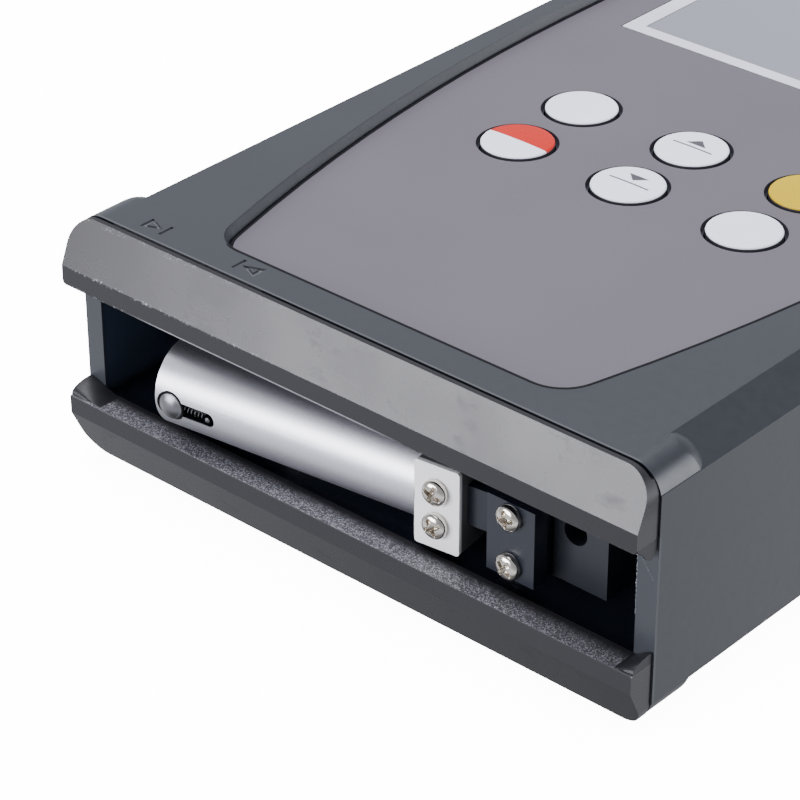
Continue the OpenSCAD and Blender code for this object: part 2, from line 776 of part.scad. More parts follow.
module tact_switches() color(part_black) for (k = KEYS)
    translate(concat(key_at(k[1], k[2]), board_top)) {
        translate([-switch_w / 2, -switch_w / 2, 0]) cube([switch_w, switch_w, switch_h]);
        cylinder(r = switch_w * 0.28, h = switch_h + plunger_h);
    }

module board_chips() color([0.12, 0.12, 0.13]) for (i = [0, 1])
    translate([-chip_w / 2, board_y0 + chip_in + i * chip_pitch - chip_w / 2, board_under - chip_h])
        cube([chip_w, chip_w, chip_h]);

module buzzer() color(part_black)
    translate([board_w / 2 - buzzer_in, board_y0 + chip_in, board_under - buzzer_h]) difference() {
        cylinder(r = buzzer_d / 2, h = buzzer_h);
        translate([0, 0, -eps]) cylinder(r = buzzer_d * 0.09, h = buzzer_h / 2);
    }

// Batteries

module battery_door() color(shell_grey) difference() {
    union() {
        block([-door_half + fit_gap, door_y0 + fit_gap, door_z], [door_half - fit_gap, y_rear, door_top]);
        block([-door_half - door_tongue, door_y0 + fit_gap, tongue_z0],
              [door_half + door_tongue, y_rear - rear_r, tongue_z1]);
    }
    for (i = [2 : 6]) translate([-grip_w / 2, door_y0 + i * grip_pitch, door_z - eps])
        cube([grip_w, grip_pitch * 0.45, door_t / 4]);
}

module cell(i) {
    x = (i - (CELLS - 1) / 2) * cell_pitch;
    flip = i % 2;
    tip_end = bat_y1 - contact_t - fit_gap;
    translate([x, flip == 0 ? tip_end : bat_y0 + contact_t + fit_gap, cell_z])
        rotate([flip == 0 ? 90 : -90, 0, 0]) {
            translate([0, 0, cell_tip]) cylinder(r = cell_d / 2, h = cell_l);
            cylinder(r = cell_d * 0.18, h = cell_tip + eps);
        }
}

module battery_cell_1() color([0.75, 0.45, 0.2]) cell(0);
module battery_cell_2() color([0.75, 0.45, 0.2]) cell(1);
module battery_cell_3() color([0.75, 0.45, 0.2]) cell(2);
module battery_cell_4() color([0.75, 0.45, 0.2]) cell(3);

// A contact plate across one cell, with a cone that presses on the cell's flat end
module battery_springs() color(nickel) for (i = [0 : CELLS - 1]) {
    x = (i - (CELLS - 1) / 2) * cell_pitch;
    near_front = i % 2 == 0;
    translate([x, near_front ? bat_y0 : bat_y1, cell_z]) rotate([near_front ? -90 : 90, 0, 0]) {
        cylinder(r = cell_d * 0.42, h = contact_t);
        translate([0, 0, contact_t - eps]) cylinder(r1 = cell_d * 0.34, r2 = cell_d * 0.16, h = spring_l);
    }
}

module battery_plates() color(nickel) for (i = [0 : CELLS - 1]) {
    x = (i - (CELLS - 1) / 2) * cell_pitch;
    near_front = i % 2 == 1;
    translate([x, near_front ? bat_y0 : bat_y1, cell_z]) rotate([near_front ? -90 : 90, 0, 0])
        cylinder(r = cell_d * 0.42, h = contact_t);
}

// Traverse

module at_drive() {
    translate([0, drive_y, drive_z]) children();
}

module mech_frame() color(steel) difference() {
    union() {
        block([frame_x0, frame_y0, floor_z], [frame_x1, frame_y1, frame_top]);
        for (x = [frame_x0, frame_x1 - cheek_t])
            block([x, frame_y0, floor_z], [x + cheek_t, frame_y1, cheek_top]);
    }
    at_drive() bar_x(frame_x0 - 1, frame_x1 + 1, bush_r + press_gap);
    for (z = ROD_Z) translate([0, drive_y, z]) bar_x(frame_x0 - 1, frame_x1 + 1, rod_r + press_gap);
    for (p = FRAME_SCREWS) translate([p.x, p.y, floor_z - 1])
        cylinder(r = screw_r + screw_gap, h = frame_t + 2);
}

module frame_screws() color(nickel) for (p = FRAME_SCREWS)
    translate([p.x, p.y, frame_top]) pan_screw(screw_head_r, 0.7, screw_r, frame_t);

module guide_rod_lower() color(silver) translate([0, drive_y, ROD_Z[0]]) bar_x(frame_x0, frame_x1, rod_r);
module guide_rod_upper() color(silver) translate([0, drive_y, ROD_Z[1]]) bar_x(frame_x0, frame_x1, rod_r);

module lead_screw() color(silver) at_drive() bar_x(frame_x0 - 3.5, frame_x1 + 0.6, lead_r);

// Flanged bush in a cheek, with its flange inside the frame
module screw_bush(x, direction) at_drive() difference() {
    union() {
        translate([x, 0, 0]) rotate([0, direction * 90, 0]) cylinder(r = bush_r, h = cheek_t);
        translate([x, 0, 0]) rotate([0, -direction * 90, 0]) cylinder(r = bush_r + 0.2, h = bush_flange_t);
    }
    bar_x(x - 5, x + 5, lead_r + run_gap);
}

module screw_bush_left() color(brass) screw_bush(frame_x0 + cheek_t, -1);
module screw_bush_right() color(brass) screw_bush(frame_x1 - cheek_t, 1);

module motor_gearbox() color(steel) at_drive() difference() {
    bar_x(frame_x0 - gearbox_l, frame_x0, motor_r);
    bar_x(frame_x0 - 4, frame_x0 + 1, lead_r + run_gap);
}

module drive_motor() color([0.5, 0.5, 0.52]) at_drive() intersection() {
    bar_x(frame_x0 - gearbox_l - motor_l, frame_x0 - gearbox_l, motor_r);
    block([-far, -motor_r, -motor_r * 0.84], [far, motor_r, motor_r * 0.84]);
}

// Carriage: a body on the rods, and an arm that reaches forward and holds the pivot
module carriage() color(part_black) difference() {
    union() {
        block([car_x0, car_y0, car_z0], [car_x1, car_y1, car_z1]);
        block([pivot_x - arm_half, arm_y0, arm_z - arm_h / 2],
              [pivot_x + arm_half, car_y0 + eps, arm_z + arm_h / 2]);
    }
    block([car_x0 - 1, pivot_y - tongue_slot, tube_z - tongue_h / 2 - fit_gap],
          [car_x1 + 1, pivot_y + tongue_slot, tube_z + tongue_h / 2 + fit_gap]);
    translate([pivot_x, pivot_y, 0]) cylinder(r = pivot_r + press_gap, h = arm_z + arm_h);
    for (z = ROD_Z) translate([0, drive_y, z]) bar_x(car_x0 - 1, car_x1 + 1, rod_bush_r + press_gap);
    at_drive() bar_x(car_x0 - 1, car_x1 + 1, nut_r + press_gap);
    for (z = [-1, 1]) translate([pivot_x, arm_y0 - eps, arm_z + z * plate_screw_pitch / 2])
        drill_y(screw_r + screw_gap, pivot_y - tongue_slot - arm_y0 - 0.1);
}

module carriage_nut() color(brass) at_drive() difference() {
    union() {
        bar_x(car_x0, car_x1, nut_r);
        bar_x(car_x0 - nut_flange_t, car_x0, nut_flange_r);
    }
    bar_x(car_x0 - 2, car_x1 + 1, lead_r + run_gap);
}

module rod_bushes() color(brass) for (z = ROD_Z) translate([0, drive_y, z]) difference() {
    bar_x(car_x0, car_x1, rod_bush_r);
    bar_x(car_x0 - 1, car_x1 + 1, rod_r + run_gap);
}

module bracket_plate() color(part_black) difference() {
    block([pivot_x - plate_w / 2, plate_y, arm_z - arm_h / 2],
          [pivot_x + plate_w / 2, arm_y0, arm_z + arm_h / 2]);
    for (z = [-1, 1]) translate([pivot_x, plate_y - 1, arm_z + z * plate_screw_pitch / 2])
        drill_y(screw_r + screw_gap, plate_t + 2);
}

module bracket_screws() color(nickel) for (z = [-1, 1])
    translate([pivot_x, plate_y, arm_z + z * plate_screw_pitch / 2]) rotate([90, 0, 0])
        pan_screw(screw_head_r, screw_head_h, screw_r, pivot_y - tongue_slot - plate_y - 0.3);

module pivot_pin() color(silver) translate([pivot_x, pivot_y, arm_z - arm_h / 2])
    cylinder(r = pivot_r, h = arm_h);

// Pickup

module hinge_tongue() color(part_black) pickup_frame() difference() {
    union() {
        block([block_x1, -tongue_t / 2, -tongue_h / 2], [0, tongue_t / 2, tongue_h / 2]);
        block([block_x1, -pad_front, -tongue_h / 2], [-arm_half - pad_gap, 0, tongue_h / 2]);
        translate([0, 0, -tongue_h / 2]) cylinder(r = barrel_r, h = tongue_h);
    }
    translate([0, 0, -tongue_h]) cylinder(r = pivot_r + run_gap, h = 2 * tongue_h);
}

module pickup_block() color(silver) pickup_frame() difference() {
    union() {
        translate([0, -block_front + block_d, 0]) rotate([90, 0, 0]) linear_extrude(block_d)
            translate([block_x, 0]) section(block_w / 2, -block_h / 2 - block_drop, block_h / 2 - block_drop,
                                            block_r, block_r);
        bar_x(block_x0 - spigot_l, block_x0 + eps, tube_bore_r - press_gap);
    }
    for (z = [-1, 1]) translate([block_x, -block_front - eps, z * block_screw_pitch / 2 - block_drop])
        drill_y(screw_r + screw_gap, block_hole_l);
}

module block_screws() color(nickel) pickup_frame() for (z = [-1, 1])
    translate([block_x, -block_front, z * block_screw_pitch / 2 - block_drop]) rotate([90, 0, 0])
        pan_screw(screw_head_r, screw_head_h, screw_r, block_screw_l);

module pickup_tube() color([0.72, 0.74, 0.77]) pickup_frame() difference() {
    bar_x(tube_x0, block_x0, tube_r);
    bar_x(tube_x0 + tube_end, block_x0 + 1, tube_bore_r);
    translate([skid_x, -tube_r - 1, -skid_drop]) drill_y(skid_r + press_gap, skid_l + 1);
    translate([stylus_x, -tube_r - 1, -skid_drop]) drill_y(stylus_slot_w / 2, tube_r - tube_bore_r + 2.5);
    block([skid_x, -tube_r - 1, -skid_drop - stylus_slot_w / 2],
          [stylus_x, -tube_bore_r + 1.5, -skid_drop + stylus_slot_w / 2]);
}

module skid() color(silver) pickup_frame() translate([skid_x, -tube_r - skid_proud, -skid_drop])
    drill_y(skid_r, skid_l);

module pickup_coil() color([0.6, 0.35, 0.15]) pickup_frame() difference() {
    bar_x(coil_x0, block_x0 - spigot_l - 0.3, tube_bore_r - 0.05);
    bar_x(coil_x0 - 1, block_x0, stylus_r + 0.6);
}

module stylus_pivot() color(silver) pickup_frame()
    translate([stylus_pivot_x, 0, -tube_bore_r + press_gap])
        cylinder(r = stylus_pin_r, h = 2 * (tube_bore_r - press_gap));

// Stylus arm with its eye, its tail in the coil and its tip in the slot
module stylus_arm() color(steel) pickup_frame() difference() {
    union() {
        bar_x(stylus_x - stylus_tip_r * 2, coil_x0 + stylus_tail, stylus_r);
        translate([stylus_pivot_x, 0, -stylus_eye_r]) cylinder(r = stylus_eye_r, h = 2 * stylus_eye_r);
        translate([stylus_x, 0, -skid_drop]) rotate([90, 0, 0]) cylinder(r = stylus_tip_r, h = tube_r);
        translate([stylus_x, -tube_r + eps, -skid_drop]) rotate([90, 0, 0])
            cylinder(r1 = stylus_tip_r, r2 = 0.05, h = skid_proud / 2);
    }
    translate([stylus_pivot_x, 0, -2 * stylus_eye_r]) cylinder(r = stylus_pin_r + run_gap, h = 4 * stylus_eye_r);
}

upper_housing();
lower_housing();
front_upper_bar();
front_lower_bar();
bay_tray();
panel_overlay();
lcd_frame();
lcd_window();
lcd_module();
key_power();
key_down();
key_cutoff();
key_calibrate();
key_up();
key_start();
tact_switches();
main_board();
board_chips();
board_screws();
buzzer();
housing_screws();
battery_door();
battery_cell_1();
battery_cell_2();
battery_cell_3();
battery_cell_4();
battery_springs();
battery_plates();
mech_frame();
frame_screws();
guide_rod_lower();
guide_rod_upper();
lead_screw();
screw_bush_left();
screw_bush_right();
drive_motor();
motor_gearbox();
carriage();
carriage_nut();
rod_bushes();
bracket_plate();
bracket_screws();
pivot_pin();
hinge_tongue();
pickup_block();
block_screws();
pickup_tube();
pickup_coil();
skid();
stylus_pivot();
stylus_arm();
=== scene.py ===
"""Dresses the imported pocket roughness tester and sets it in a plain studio."""

import json
import math
from collections import namedtuple

import bmesh
import bpy
import numpy as np
from mathutils import Matrix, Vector
from mathutils.geometry import convex_hull_2d


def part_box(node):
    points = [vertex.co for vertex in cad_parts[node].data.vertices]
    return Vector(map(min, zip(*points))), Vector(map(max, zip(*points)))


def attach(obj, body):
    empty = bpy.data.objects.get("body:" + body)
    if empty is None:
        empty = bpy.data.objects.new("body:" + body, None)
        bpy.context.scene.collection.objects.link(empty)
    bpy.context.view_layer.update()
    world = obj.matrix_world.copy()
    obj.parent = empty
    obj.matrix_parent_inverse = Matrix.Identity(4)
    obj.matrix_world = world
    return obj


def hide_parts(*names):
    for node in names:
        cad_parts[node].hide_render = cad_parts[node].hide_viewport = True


bl_info = {
    "name": "Roughness Tester Dresser",
    "version": (1, 0, 0),
    "blender": (4, 5, 0),
    "location": "3D View > Sidebar > Tester",
    "description": "Finishes, screws, keys and studio for a pocket surface roughness tester",
    "category": "Object",
}

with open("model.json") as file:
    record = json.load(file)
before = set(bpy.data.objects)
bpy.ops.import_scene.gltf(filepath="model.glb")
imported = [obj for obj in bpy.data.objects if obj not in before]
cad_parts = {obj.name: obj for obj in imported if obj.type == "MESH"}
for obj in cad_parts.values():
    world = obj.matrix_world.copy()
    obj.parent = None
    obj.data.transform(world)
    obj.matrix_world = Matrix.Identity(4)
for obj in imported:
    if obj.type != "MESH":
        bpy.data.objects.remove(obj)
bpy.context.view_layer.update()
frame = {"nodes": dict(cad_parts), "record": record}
NODES = frame["nodes"]
BEHAVIOUR = frame["record"]["behaviour"]
BODY_OF = {node: body for body, nodes in BEHAVIOUR["bodies"].items() for node in nodes}
PIVOTS = {j["name"]: np.array(j["pos_m"]) for j in BEHAVIOUR["joints"] if "pos_m" in j}
MM = 0.001
UP = np.array([0.0, 0.0, 1.0])

# The pickup's level axis, from the stylus to the pin it swings on, and the way out of the bay, square to it.
PICKUP_AXIS = (PIVOTS["pickup_swing"] - PIVOTS["stylus_tilt"]) * (1.0, 1.0, 0.0)
PICKUP_AXIS /= np.linalg.norm(PICKUP_AXIS)
FORWARD = np.cross(PICKUP_AXIS, UP)

Round = namedtuple("Round", "centre far near radius")
Screw = namedtuple("Screw", "head_h shank_r shank_l slot turn step")


def colour_prop(name, description, default):
    """A colour that a user would change, as linear red, green and blue."""
    return bpy.props.FloatVectorProperty(
        name=name, description=description, subtype="COLOR", size=3, min=0.0, max=1.0, default=default)


def length_prop(name, description, default):
    """A length in metres."""
    return bpy.props.FloatProperty(
        name=name, description=description, unit="LENGTH", default=default, precision=5)


def angle_prop(name, description, degrees):
    """An angle, given in degrees."""
    return bpy.props.FloatProperty(
        name=name, description=description, subtype="ANGLE", default=math.radians(degrees))


def amount_prop(name, description, default):
    """A number that isn't below 0."""
    return bpy.props.FloatProperty(name=name, description=description, min=0, default=default)


class HousingSettings(bpy.types.PropertyGroup):
    """Colours of the case and its bars."""

    shell: colour_prop("Shell", "Moulded shell", (0.0105, 0.0130, 0.0180))
    bar: colour_prop("Bars", "Measuring bars", (0.0115, 0.0112, 0.0138))
    bay: colour_prop("Bay", "Black mouldings in the bay", (0.0090, 0.0120, 0.0200))
    overlay: colour_prop("Overlay", "Printed film of the panel", (0.0770, 0.0690, 0.0830))
    wear: bpy.props.FloatProperty(
        name="Wear", description="Amount of nicks along the bars", subtype="FACTOR", min=0, max=1, default=0.75)


class KeySettings(bpy.types.PropertyGroup):
    """Colours and form of the keys."""

    white: colour_prop("White", "White caps", (0.70, 0.73, 0.80))
    red: colour_prop("Red", "Half of the power cap", (0.42, 0.012, 0.006))
    yellow: colour_prop("Yellow", "Start cap", (0.46, 0.31, 0.0))
    mark: colour_prop("Marks", "Printed arrows and bars", (0.06, 0.06, 0.07))
    # Painted shade on the wall under a cap's rim.
    ring: colour_prop("Ring", "Dark wall under a cap's rim", (0.036, 0.034, 0.041))
    edge: length_prop("Edge radius", "Rounding of a cap's rim", 0.30 * MM)
    crown: length_prop("Crown", "Height of a cap's dome", 0.10 * MM)


class MetalSettings(bpy.types.PropertyGroup):
    """Colours and sizes of the metal pieces."""

    tube: colour_prop("Tube", "Satin aluminium", (0.64, 0.64, 0.69))
    block: colour_prop("Block", "Blasted aluminium", (0.99, 0.98, 0.98))
    nickel: colour_prop("Nickel", "Plated screws", (0.70, 0.66, 0.60))
    steel: colour_prop("Steel", "Ground rods", (0.58, 0.59, 0.61))
    brass: colour_prop("Brass", "Bushes and nut", (0.60, 0.40, 0.14))
    spring_wire: length_prop("Hairspring wire", "Thickness of the wire in the stylus slot", 0.16 * MM)
    thread_pitch: length_prop("Thread pitch", "Distance between the thread's crests", 0.5 * MM)
    thread_depth: length_prop("Thread depth", "Depth of the thread", 0.22 * MM)
    thread_starts: bpy.props.IntProperty(name="Starts", description="Starts of the thread", min=1, default=4)


class StageSettings(bpy.types.PropertyGroup):
    """Camera and light."""

    eye: bpy.props.FloatVectorProperty(
        name="Camera place", description="Where the camera stands", subtype="TRANSLATION",
        default=(187.109 * MM, -262.309 * MM, 190.107 * MM), precision=5)
    azimuth: angle_prop("Azimuth", "Turn of the camera about the upright", 41.833)
    elevation: angle_prop("Elevation", "Angle of the camera above the floor", 31.479)
    roll: angle_prop("Roll", "Turn of the camera about its axis", -0.116)
    lens: bpy.props.FloatProperty(
        name="Lens", description="Focal length on a 36 mm sensor, in mm", min=1, default=142.055)
    floor: colour_prop("Floor", "Plain pale floor", (0.92, 0.92, 0.93))
    glow: amount_prop("Floor glow", "Light of the floor itself", 13.0)
    sky: amount_prop("Sky", "Strength of the light from all round", 1.0)
    front_power: amount_prop("Front lamp", "Power of the low panel in front, in W", 12.3)
    top_power: amount_prop("Top lamp", "Power of the panel overhead, in W", 34.5)


class Value:
    """A shader socket that takes part in Python expressions; each operator adds a Math node."""

    def __init__(self, nodes, socket):
        self.nodes = nodes
        self.socket = socket

    def math(self, operation, *others):
        """A Math node of this operation on this value and the others."""
        return self.nodes.node("ShaderNodeMath", {"operation": operation}, dict(enumerate((self, *others))))

    def __add__(self, other):
        return self.math("ADD", other)

    __radd__ = __add__

    def __sub__(self, other):
        return self.math("SUBTRACT", other)

    def __rsub__(self, other):
        return self.nodes.node("ShaderNodeMath", {"operation": "SUBTRACT"}, {0: other, 1: self})

    def __mul__(self, other):
        return self.math("MULTIPLY", other)

    __rmul__ = __mul__

    def __abs__(self):
        return self.math("ABSOLUTE")

    def most(self, other):
        """The greater of the two."""
        return self.math("MAXIMUM", other)

    def ramp(self, low, high):
        """0 at low, 1 at high, straight between and level beyond; low may be the greater of the two."""
        return self.nodes.node(
            "ShaderNodeMapRange", {"clamp": True}, {"Value": self, "From Min": low, "From Max": high})

    def near(self, place, full, none):
        """1 up to the distance full from a place, falling to 0 at the distance none."""
        return abs(self - place).ramp(none, full)


class Nodes:
    """Adds nodes to a tree; values and links are given by socket name or number."""

    def __init__(self, tree):
        self.tree = tree

    def node(self, kind, settings, inputs, output=0):
        """Adds a node: its settings first, then the values or links of its sockets; gives one output."""
        node = self.tree.nodes.new(kind)
        for key, value in settings.items():
            setattr(node, key, value)
        for key, value in inputs.items():
            socket = node.inputs[key]
            if isinstance(value, Value):
                self.tree.links.new(value.socket, socket)
            else:
                socket.default_value = value
        return Value(self, node.outputs[output])


class Finish(Nodes):
    """A material with one Principled shader, built by expressions on Object coordinates in mm."""

    def __init__(self, name, colour, roughness, metallic=0.0, **constants):
        self.material = bpy.data.materials.new(name)
        self.material.use_nodes = True
        self.material.diffuse_color = (*colour, 1.0)
        super().__init__(self.material.node_tree)
        self.shader = self.tree.nodes["Principled BSDF"]
        self.shader.inputs["Base Color"].default_value = (*colour, 1.0)
        self.shader.inputs["Roughness"].default_value = roughness
        self.shader.inputs["Metallic"].default_value = metallic
        for socket, value in constants.items():
            self.shader.inputs[socket.replace("_", " ")].default_value = value
        self.spot = self.node("ShaderNodeMapping", {}, {
            "Vector": self.node("ShaderNodeTexCoord", {}, {}, "Object"), "Scale": (1 / MM, 1 / MM, 1 / MM)})
        split = self.node("ShaderNodeSeparateXYZ", {}, {0: self.spot}).socket.node
        self.x, self.y, self.z = (Value(self, split.outputs[axis]) for axis in ("X", "Y", "Z"))

    def reach(self, way):
        """The distance along a level direction, in mm."""
        return self.x * way[0] + self.y * way[1]

    def noise(self, scale, detail, roughness=0.5, stretch=(1.0, 1.0, 1.0)):
        """Noise between 0 and 1, with scale in waves for each mm."""
        spot = self.node("ShaderNodeVectorMath", {"operation": "MULTIPLY"}, {0: self.spot, 1: stretch})
        return self.node("ShaderNodeTexNoise", {}, {
            "Vector": spot, "Scale": scale, "Detail": detail, "Roughness": roughness}, "Fac")

    def blend(self, share, first, second):
        """A colour between the first and the second."""
        first, second = (c if isinstance(c, Value) else (*c, 1.0) for c in (first, second))
        return self.node("ShaderNodeMix", {"data_type": "RGBA"}, {0: share, 6: first, 7: second}, 2)

    def feed(self, socket, value):
        """Links what changes over the surface to one of the shader's sockets."""
        self.tree.links.new(value.socket, self.shader.inputs[socket])

    def over(self, share, colour, roughness, specular):
        """Lays another plain surface over this one by a share."""
        other = self.node("ShaderNodeBsdfPrincipled", {}, {
            "Base Color": (*colour, 1.0), "Roughness": roughness, "Specular IOR Level": specular}, "BSDF")
        mixed = self.node("ShaderNodeMixShader", {}, {
            0: share, 1: Value(self, self.shader.outputs["BSDF"]), 2: other}, 0)
        self.tree.links.new(mixed.socket, self.tree.nodes["Material Output"].inputs["Surface"])

    def bump(self, height, distance, strength):
        """Relief: height between 0 and 1, distance in metres."""
        self.feed("Normal", self.node("ShaderNodeBump", {}, {
            "Height": height, "Distance": distance, "Strength": strength}, "Normal"))


def tint(colour, factor):
    """A colour made lighter or darker by a factor."""
    return tuple(min(1.0, c * factor) for c in colour)


def clouded(f, colour, spread=0.08, scale=0.06, detail=3.0):
    """A colour that drifts a little darker and lighter over the surface."""
    share = f.noise(scale, detail).ramp(0.3, 0.7)
    return f.blend(share, tint(colour, 1 - spread), tint(colour, 1 + spread))


def rubbed(f, roughness):
    """Gives a finish rub marks in the gloss and a fine grain."""
    f.feed("Roughness", f.noise(0.9, 4.0, 0.6).ramp(0.25, 0.75) * 0.08 + (roughness - 0.04))
    f.bump(f.noise(7.0, 2.0), 0.004 * MM, 0.5)


def moulded(name, colour, roughness, **constants):
    """Moulded plastic: cloudy colour, rub marks in the gloss and a fine grain."""
    f = Finish(name, colour, roughness, **constants)
    f.feed("Base Color", clouded(f, colour))
    rubbed(f, roughness)
    return f


def metal(name, colour, roughness, stretch=(1.0, 1.0, 1.0), scale=3.0, relief=0.002 * MM):
    """Metal with tool marks: stretch draws the noise out along an axis."""
    f = Finish(name, colour, roughness, 1.0)
    marks = f.noise(scale, 3.0, 0.6, stretch)
    f.feed("Base Color", f.blend(marks.ramp(0.3, 0.7), tint(colour, 0.93), tint(colour, 1.05)))
    f.feed("Roughness", marks.ramp(0.2, 0.8) * 0.1 + (roughness - 0.05))
    f.bump(marks, relief, 0.4)
    return f


def dress(finish, *nodes):
    """Gives CAD nodes a finish."""
    for node in nodes:
        slots = NODES[node].data.materials
        slots.clear()
        slots.append(finish.material)


def corners_of(node):
    """The low and the high corner of a CAD node's box, in metres."""
    return [np.array(corner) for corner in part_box(node)]


def box_mm(node):
    """The low and the high corner of a CAD node's box as plain numbers, in mm, for the masks of a finish."""
    return [(corner / MM).tolist() for corner in corners_of(node)]


def points_of(node):
    """The points of a CAD node's mesh."""
    vertices = NODES[node].data.vertices
    points = np.empty(len(vertices) * 3, np.float32)
    vertices.foreach_get("co", points)
    return points.reshape(-1, 3).astype(float)


def solids_of(node):
    """The points of each separate solid of a CAD node.

    Points that are joined by edges take the least label among them, until no edge joins two labels. The solids
    are put in order along a slanted direction, which is the same in every run.
    """
    edges = NODES[node].data.edges
    places, same = np.unique(points_of(node), axis=0, return_inverse=True)
    ends = np.empty(len(edges) * 2, np.int32)
    edges.foreach_get("vertices", ends)
    first, second = same.ravel()[ends].reshape(-1, 2).T
    label = np.arange(len(places))
    while (label[first] != label[second]).any():
        least = np.minimum(label[first], label[second])
        np.minimum.at(label, first, least)
        np.minimum.at(label, second, least)
    slant = np.array([1.0, 3.0, 10.0])
    return sorted((places[label == one] for one in np.unique(label)), key=lambda solid: solid.mean(0) @ slant)


def along(points, axis):
    """Middle line, far end, near end and radius of a round solid about an axis."""
    height = points @ axis
    across = points - np.outer(height, axis)
    centre = (across.min(0) + across.max(0)) / 2
    return Round(centre, height.max(), height.min(), np.linalg.norm(across - centre, axis=1).max())


def ease(t):
    """3 t squared less 2 t cubed, with t held between 0 and 1: a step with level ends."""
    t = np.clip(t, 0, 1)
    return t * t * (3 - 2 * t)


def quads(rows, columns, wrap_rows, wrap_columns, start):
    """Corner numbers of the faces of a grid of points, rows by columns, closed on itself where it wraps."""
    i = np.arange(rows if wrap_rows else rows - 1)[:, None]
    j = np.arange(columns if wrap_columns else columns - 1)[None, :]
    i2, j2 = (i + 1) % rows, (j + 1) % columns
    ring = (i * columns + j, i2 * columns + j, i2 * columns + j2, i * columns + j2)
    return np.stack(np.broadcast_arrays(*ring), -1).reshape(-1, 4) + start


def piece(name, grids, finish, stands_for=(), body=None, sharp=40.0):
    """One object from grids (points, wrap_rows, wrap_columns): seams and poles merged, faces turned out."""
    points, faces, start = [], [], 0
    for grid, wrap_rows, wrap_columns in grids:
        rows, columns = grid.shape[:2]
        points.append(grid.reshape(-1, 3))
        faces.append(quads(rows, columns, wrap_rows, wrap_columns, start))
        start += rows * columns
    points, faces = np.concatenate(points), np.concatenate(faces)
    mesh = bpy.data.meshes.new(name)
    mesh.vertices.add(len(points))
    mesh.vertices.foreach_set("co", points.astype(np.float32).ravel())
    mesh.loops.add(faces.size)
    mesh.loops.foreach_set("vertex_index", faces.astype(np.int32).ravel())
    mesh.polygons.add(len(faces))
    mesh.polygons.foreach_set("loop_start", np.arange(0, faces.size, 4, dtype=np.int32))
    mesh.update(calc_edges=True)
    work = bmesh.new()
    work.from_mesh(mesh)
    bmesh.ops.remove_doubles(work, verts=work.verts, dist=1e-7)
    bmesh.ops.dissolve_degenerate(work, edges=work.edges, dist=1e-8)
    bmesh.ops.recalc_face_normals(work, faces=work.faces)
    work.to_mesh(mesh)
    work.free()
    mesh.polygons.foreach_set("use_smooth", np.ones(len(mesh.polygons), bool))
    mesh.set_sharp_from_angle(angle=math.radians(sharp))
    mesh.materials.append(finish.material)
    made = bpy.data.objects.new(name, mesh)
    bpy.context.scene.collection.objects.link(made)
    if stands_for:
        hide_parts(*stands_for)
    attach(made, body or BODY_OF[stands_for[0]])


def revolved(profile, turns):
    """A profile of radius and height carried round the Z axis."""
    angle = np.linspace(0, 2 * np.pi, turns, endpoint=False)[:, None]
    r, z = profile[None, :, 0], profile[None, :, 1]
    return np.stack([r * np.cos(angle), r * np.sin(angle), np.broadcast_to(z, (turns, len(profile)))], -1)


def placed(points, origin, z_axis, x_axis):
    """Points moved from their own frame to one with this origin, Z axis and rough X axis."""
    z = np.array(z_axis, float) / np.linalg.norm(z_axis)
    x = np.array(x_axis, float)
    x = x - z * (x @ z)
    x /= np.linalg.norm(x)
    return points @ np.stack([x, np.cross(z, x), z]) + np.array(origin, float)


def rounded(radius, edge, crown, top, rim_steps, dome_steps):
    """Profile of a rounded rim and a dome: a quarter circle, then a fall as the square of the radius."""
    t = np.linspace(0, np.pi / 2, rim_steps)
    rim = np.stack([radius - edge * (1 - np.cos(t)), top - crown - edge + edge * np.sin(t)], -1)
    u = np.linspace(1, 0, dome_steps)[1:]
    return np.concatenate([rim, np.stack([(radius - edge) * u, top - crown * u ** 2], -1)])


def pan_screw(head_r, head_h, shank_r, shank_l, turns=96, rings=30):
    """A pan head screw about Z, its seat at 0: a shank, a rim and a dome with a cross recess.

    Above the shoulder the dome rises as the square root of 1 less the radius to the power 2.6. The recess is
    cut where the smaller of |x| and |y| is under the blade's half width, and its floor rises outwards.
    """
    tip, shoulder = -shank_l, 0.42 * head_h
    shank = np.array([[0, tip], [0.55 * shank_r, tip], [shank_r, tip + 0.5 * shank_r], [shank_r, 0]])
    rim = np.array([[head_r * 0.93, 0], [head_r, 0.12 * head_h], [head_r, shoulder]])
    t = np.linspace(0, 1, rings)
    dome = np.stack([head_r * (1 - t), shoulder + 0.58 * head_h * np.sqrt(1 - (1 - t) ** 2.6)], -1)
    points = revolved(np.concatenate([shank, rim, dome[1:]]), turns)
    x, y, z = points[..., 0], points[..., 1], points[..., 2]
    radius = np.hypot(x, y)
    blade = head_r * (0.17 - 0.06 * radius / head_r)
    reach = 0.68 * head_r
    inside = np.clip((blade - np.minimum(abs(x), abs(y))) / (0.06 * head_r) + 0.5, 0, 1)
    inside *= np.clip((reach - radius) / (0.10 * head_r) + 0.5, 0, 1)
    inside *= z > shoulder
    floor = head_h * (0.02 + 0.5 * (radius / reach) ** 2)
    points[..., 2] = np.where(inside > 0, z + inside * (np.minimum(floor, z) - z), z)
    return points


def swept(path, radius, up, sides=8):
    """A round section of changing radius carried along a path, with both ends drawn to a point."""
    heading = np.gradient(path, axis=0)
    heading /= np.linalg.norm(heading, axis=1, keepdims=True)
    first = np.cross(heading, up)
    first /= np.linalg.norm(first, axis=1, keepdims=True)
    second = np.cross(heading, first)
    angle = np.linspace(0, 2 * np.pi, sides, endpoint=False)[None, :, None]
    ring = np.cos(angle) * first[:, None] + np.sin(angle) * second[:, None]
    tube = path[:, None] + radius[:, None, None] * ring
    ends = np.broadcast_to(path[[0, -1]][:, None], (2, sides, 3))
    return np.concatenate([ends[:1], tube, ends[1:]])


def posed(x, y, z, place):
    """The matrix of an object with these axes at a place."""
    return Matrix([[x[i], y[i], z[i], place[i]] for i in range(3)] + [[0, 0, 0, 1]])


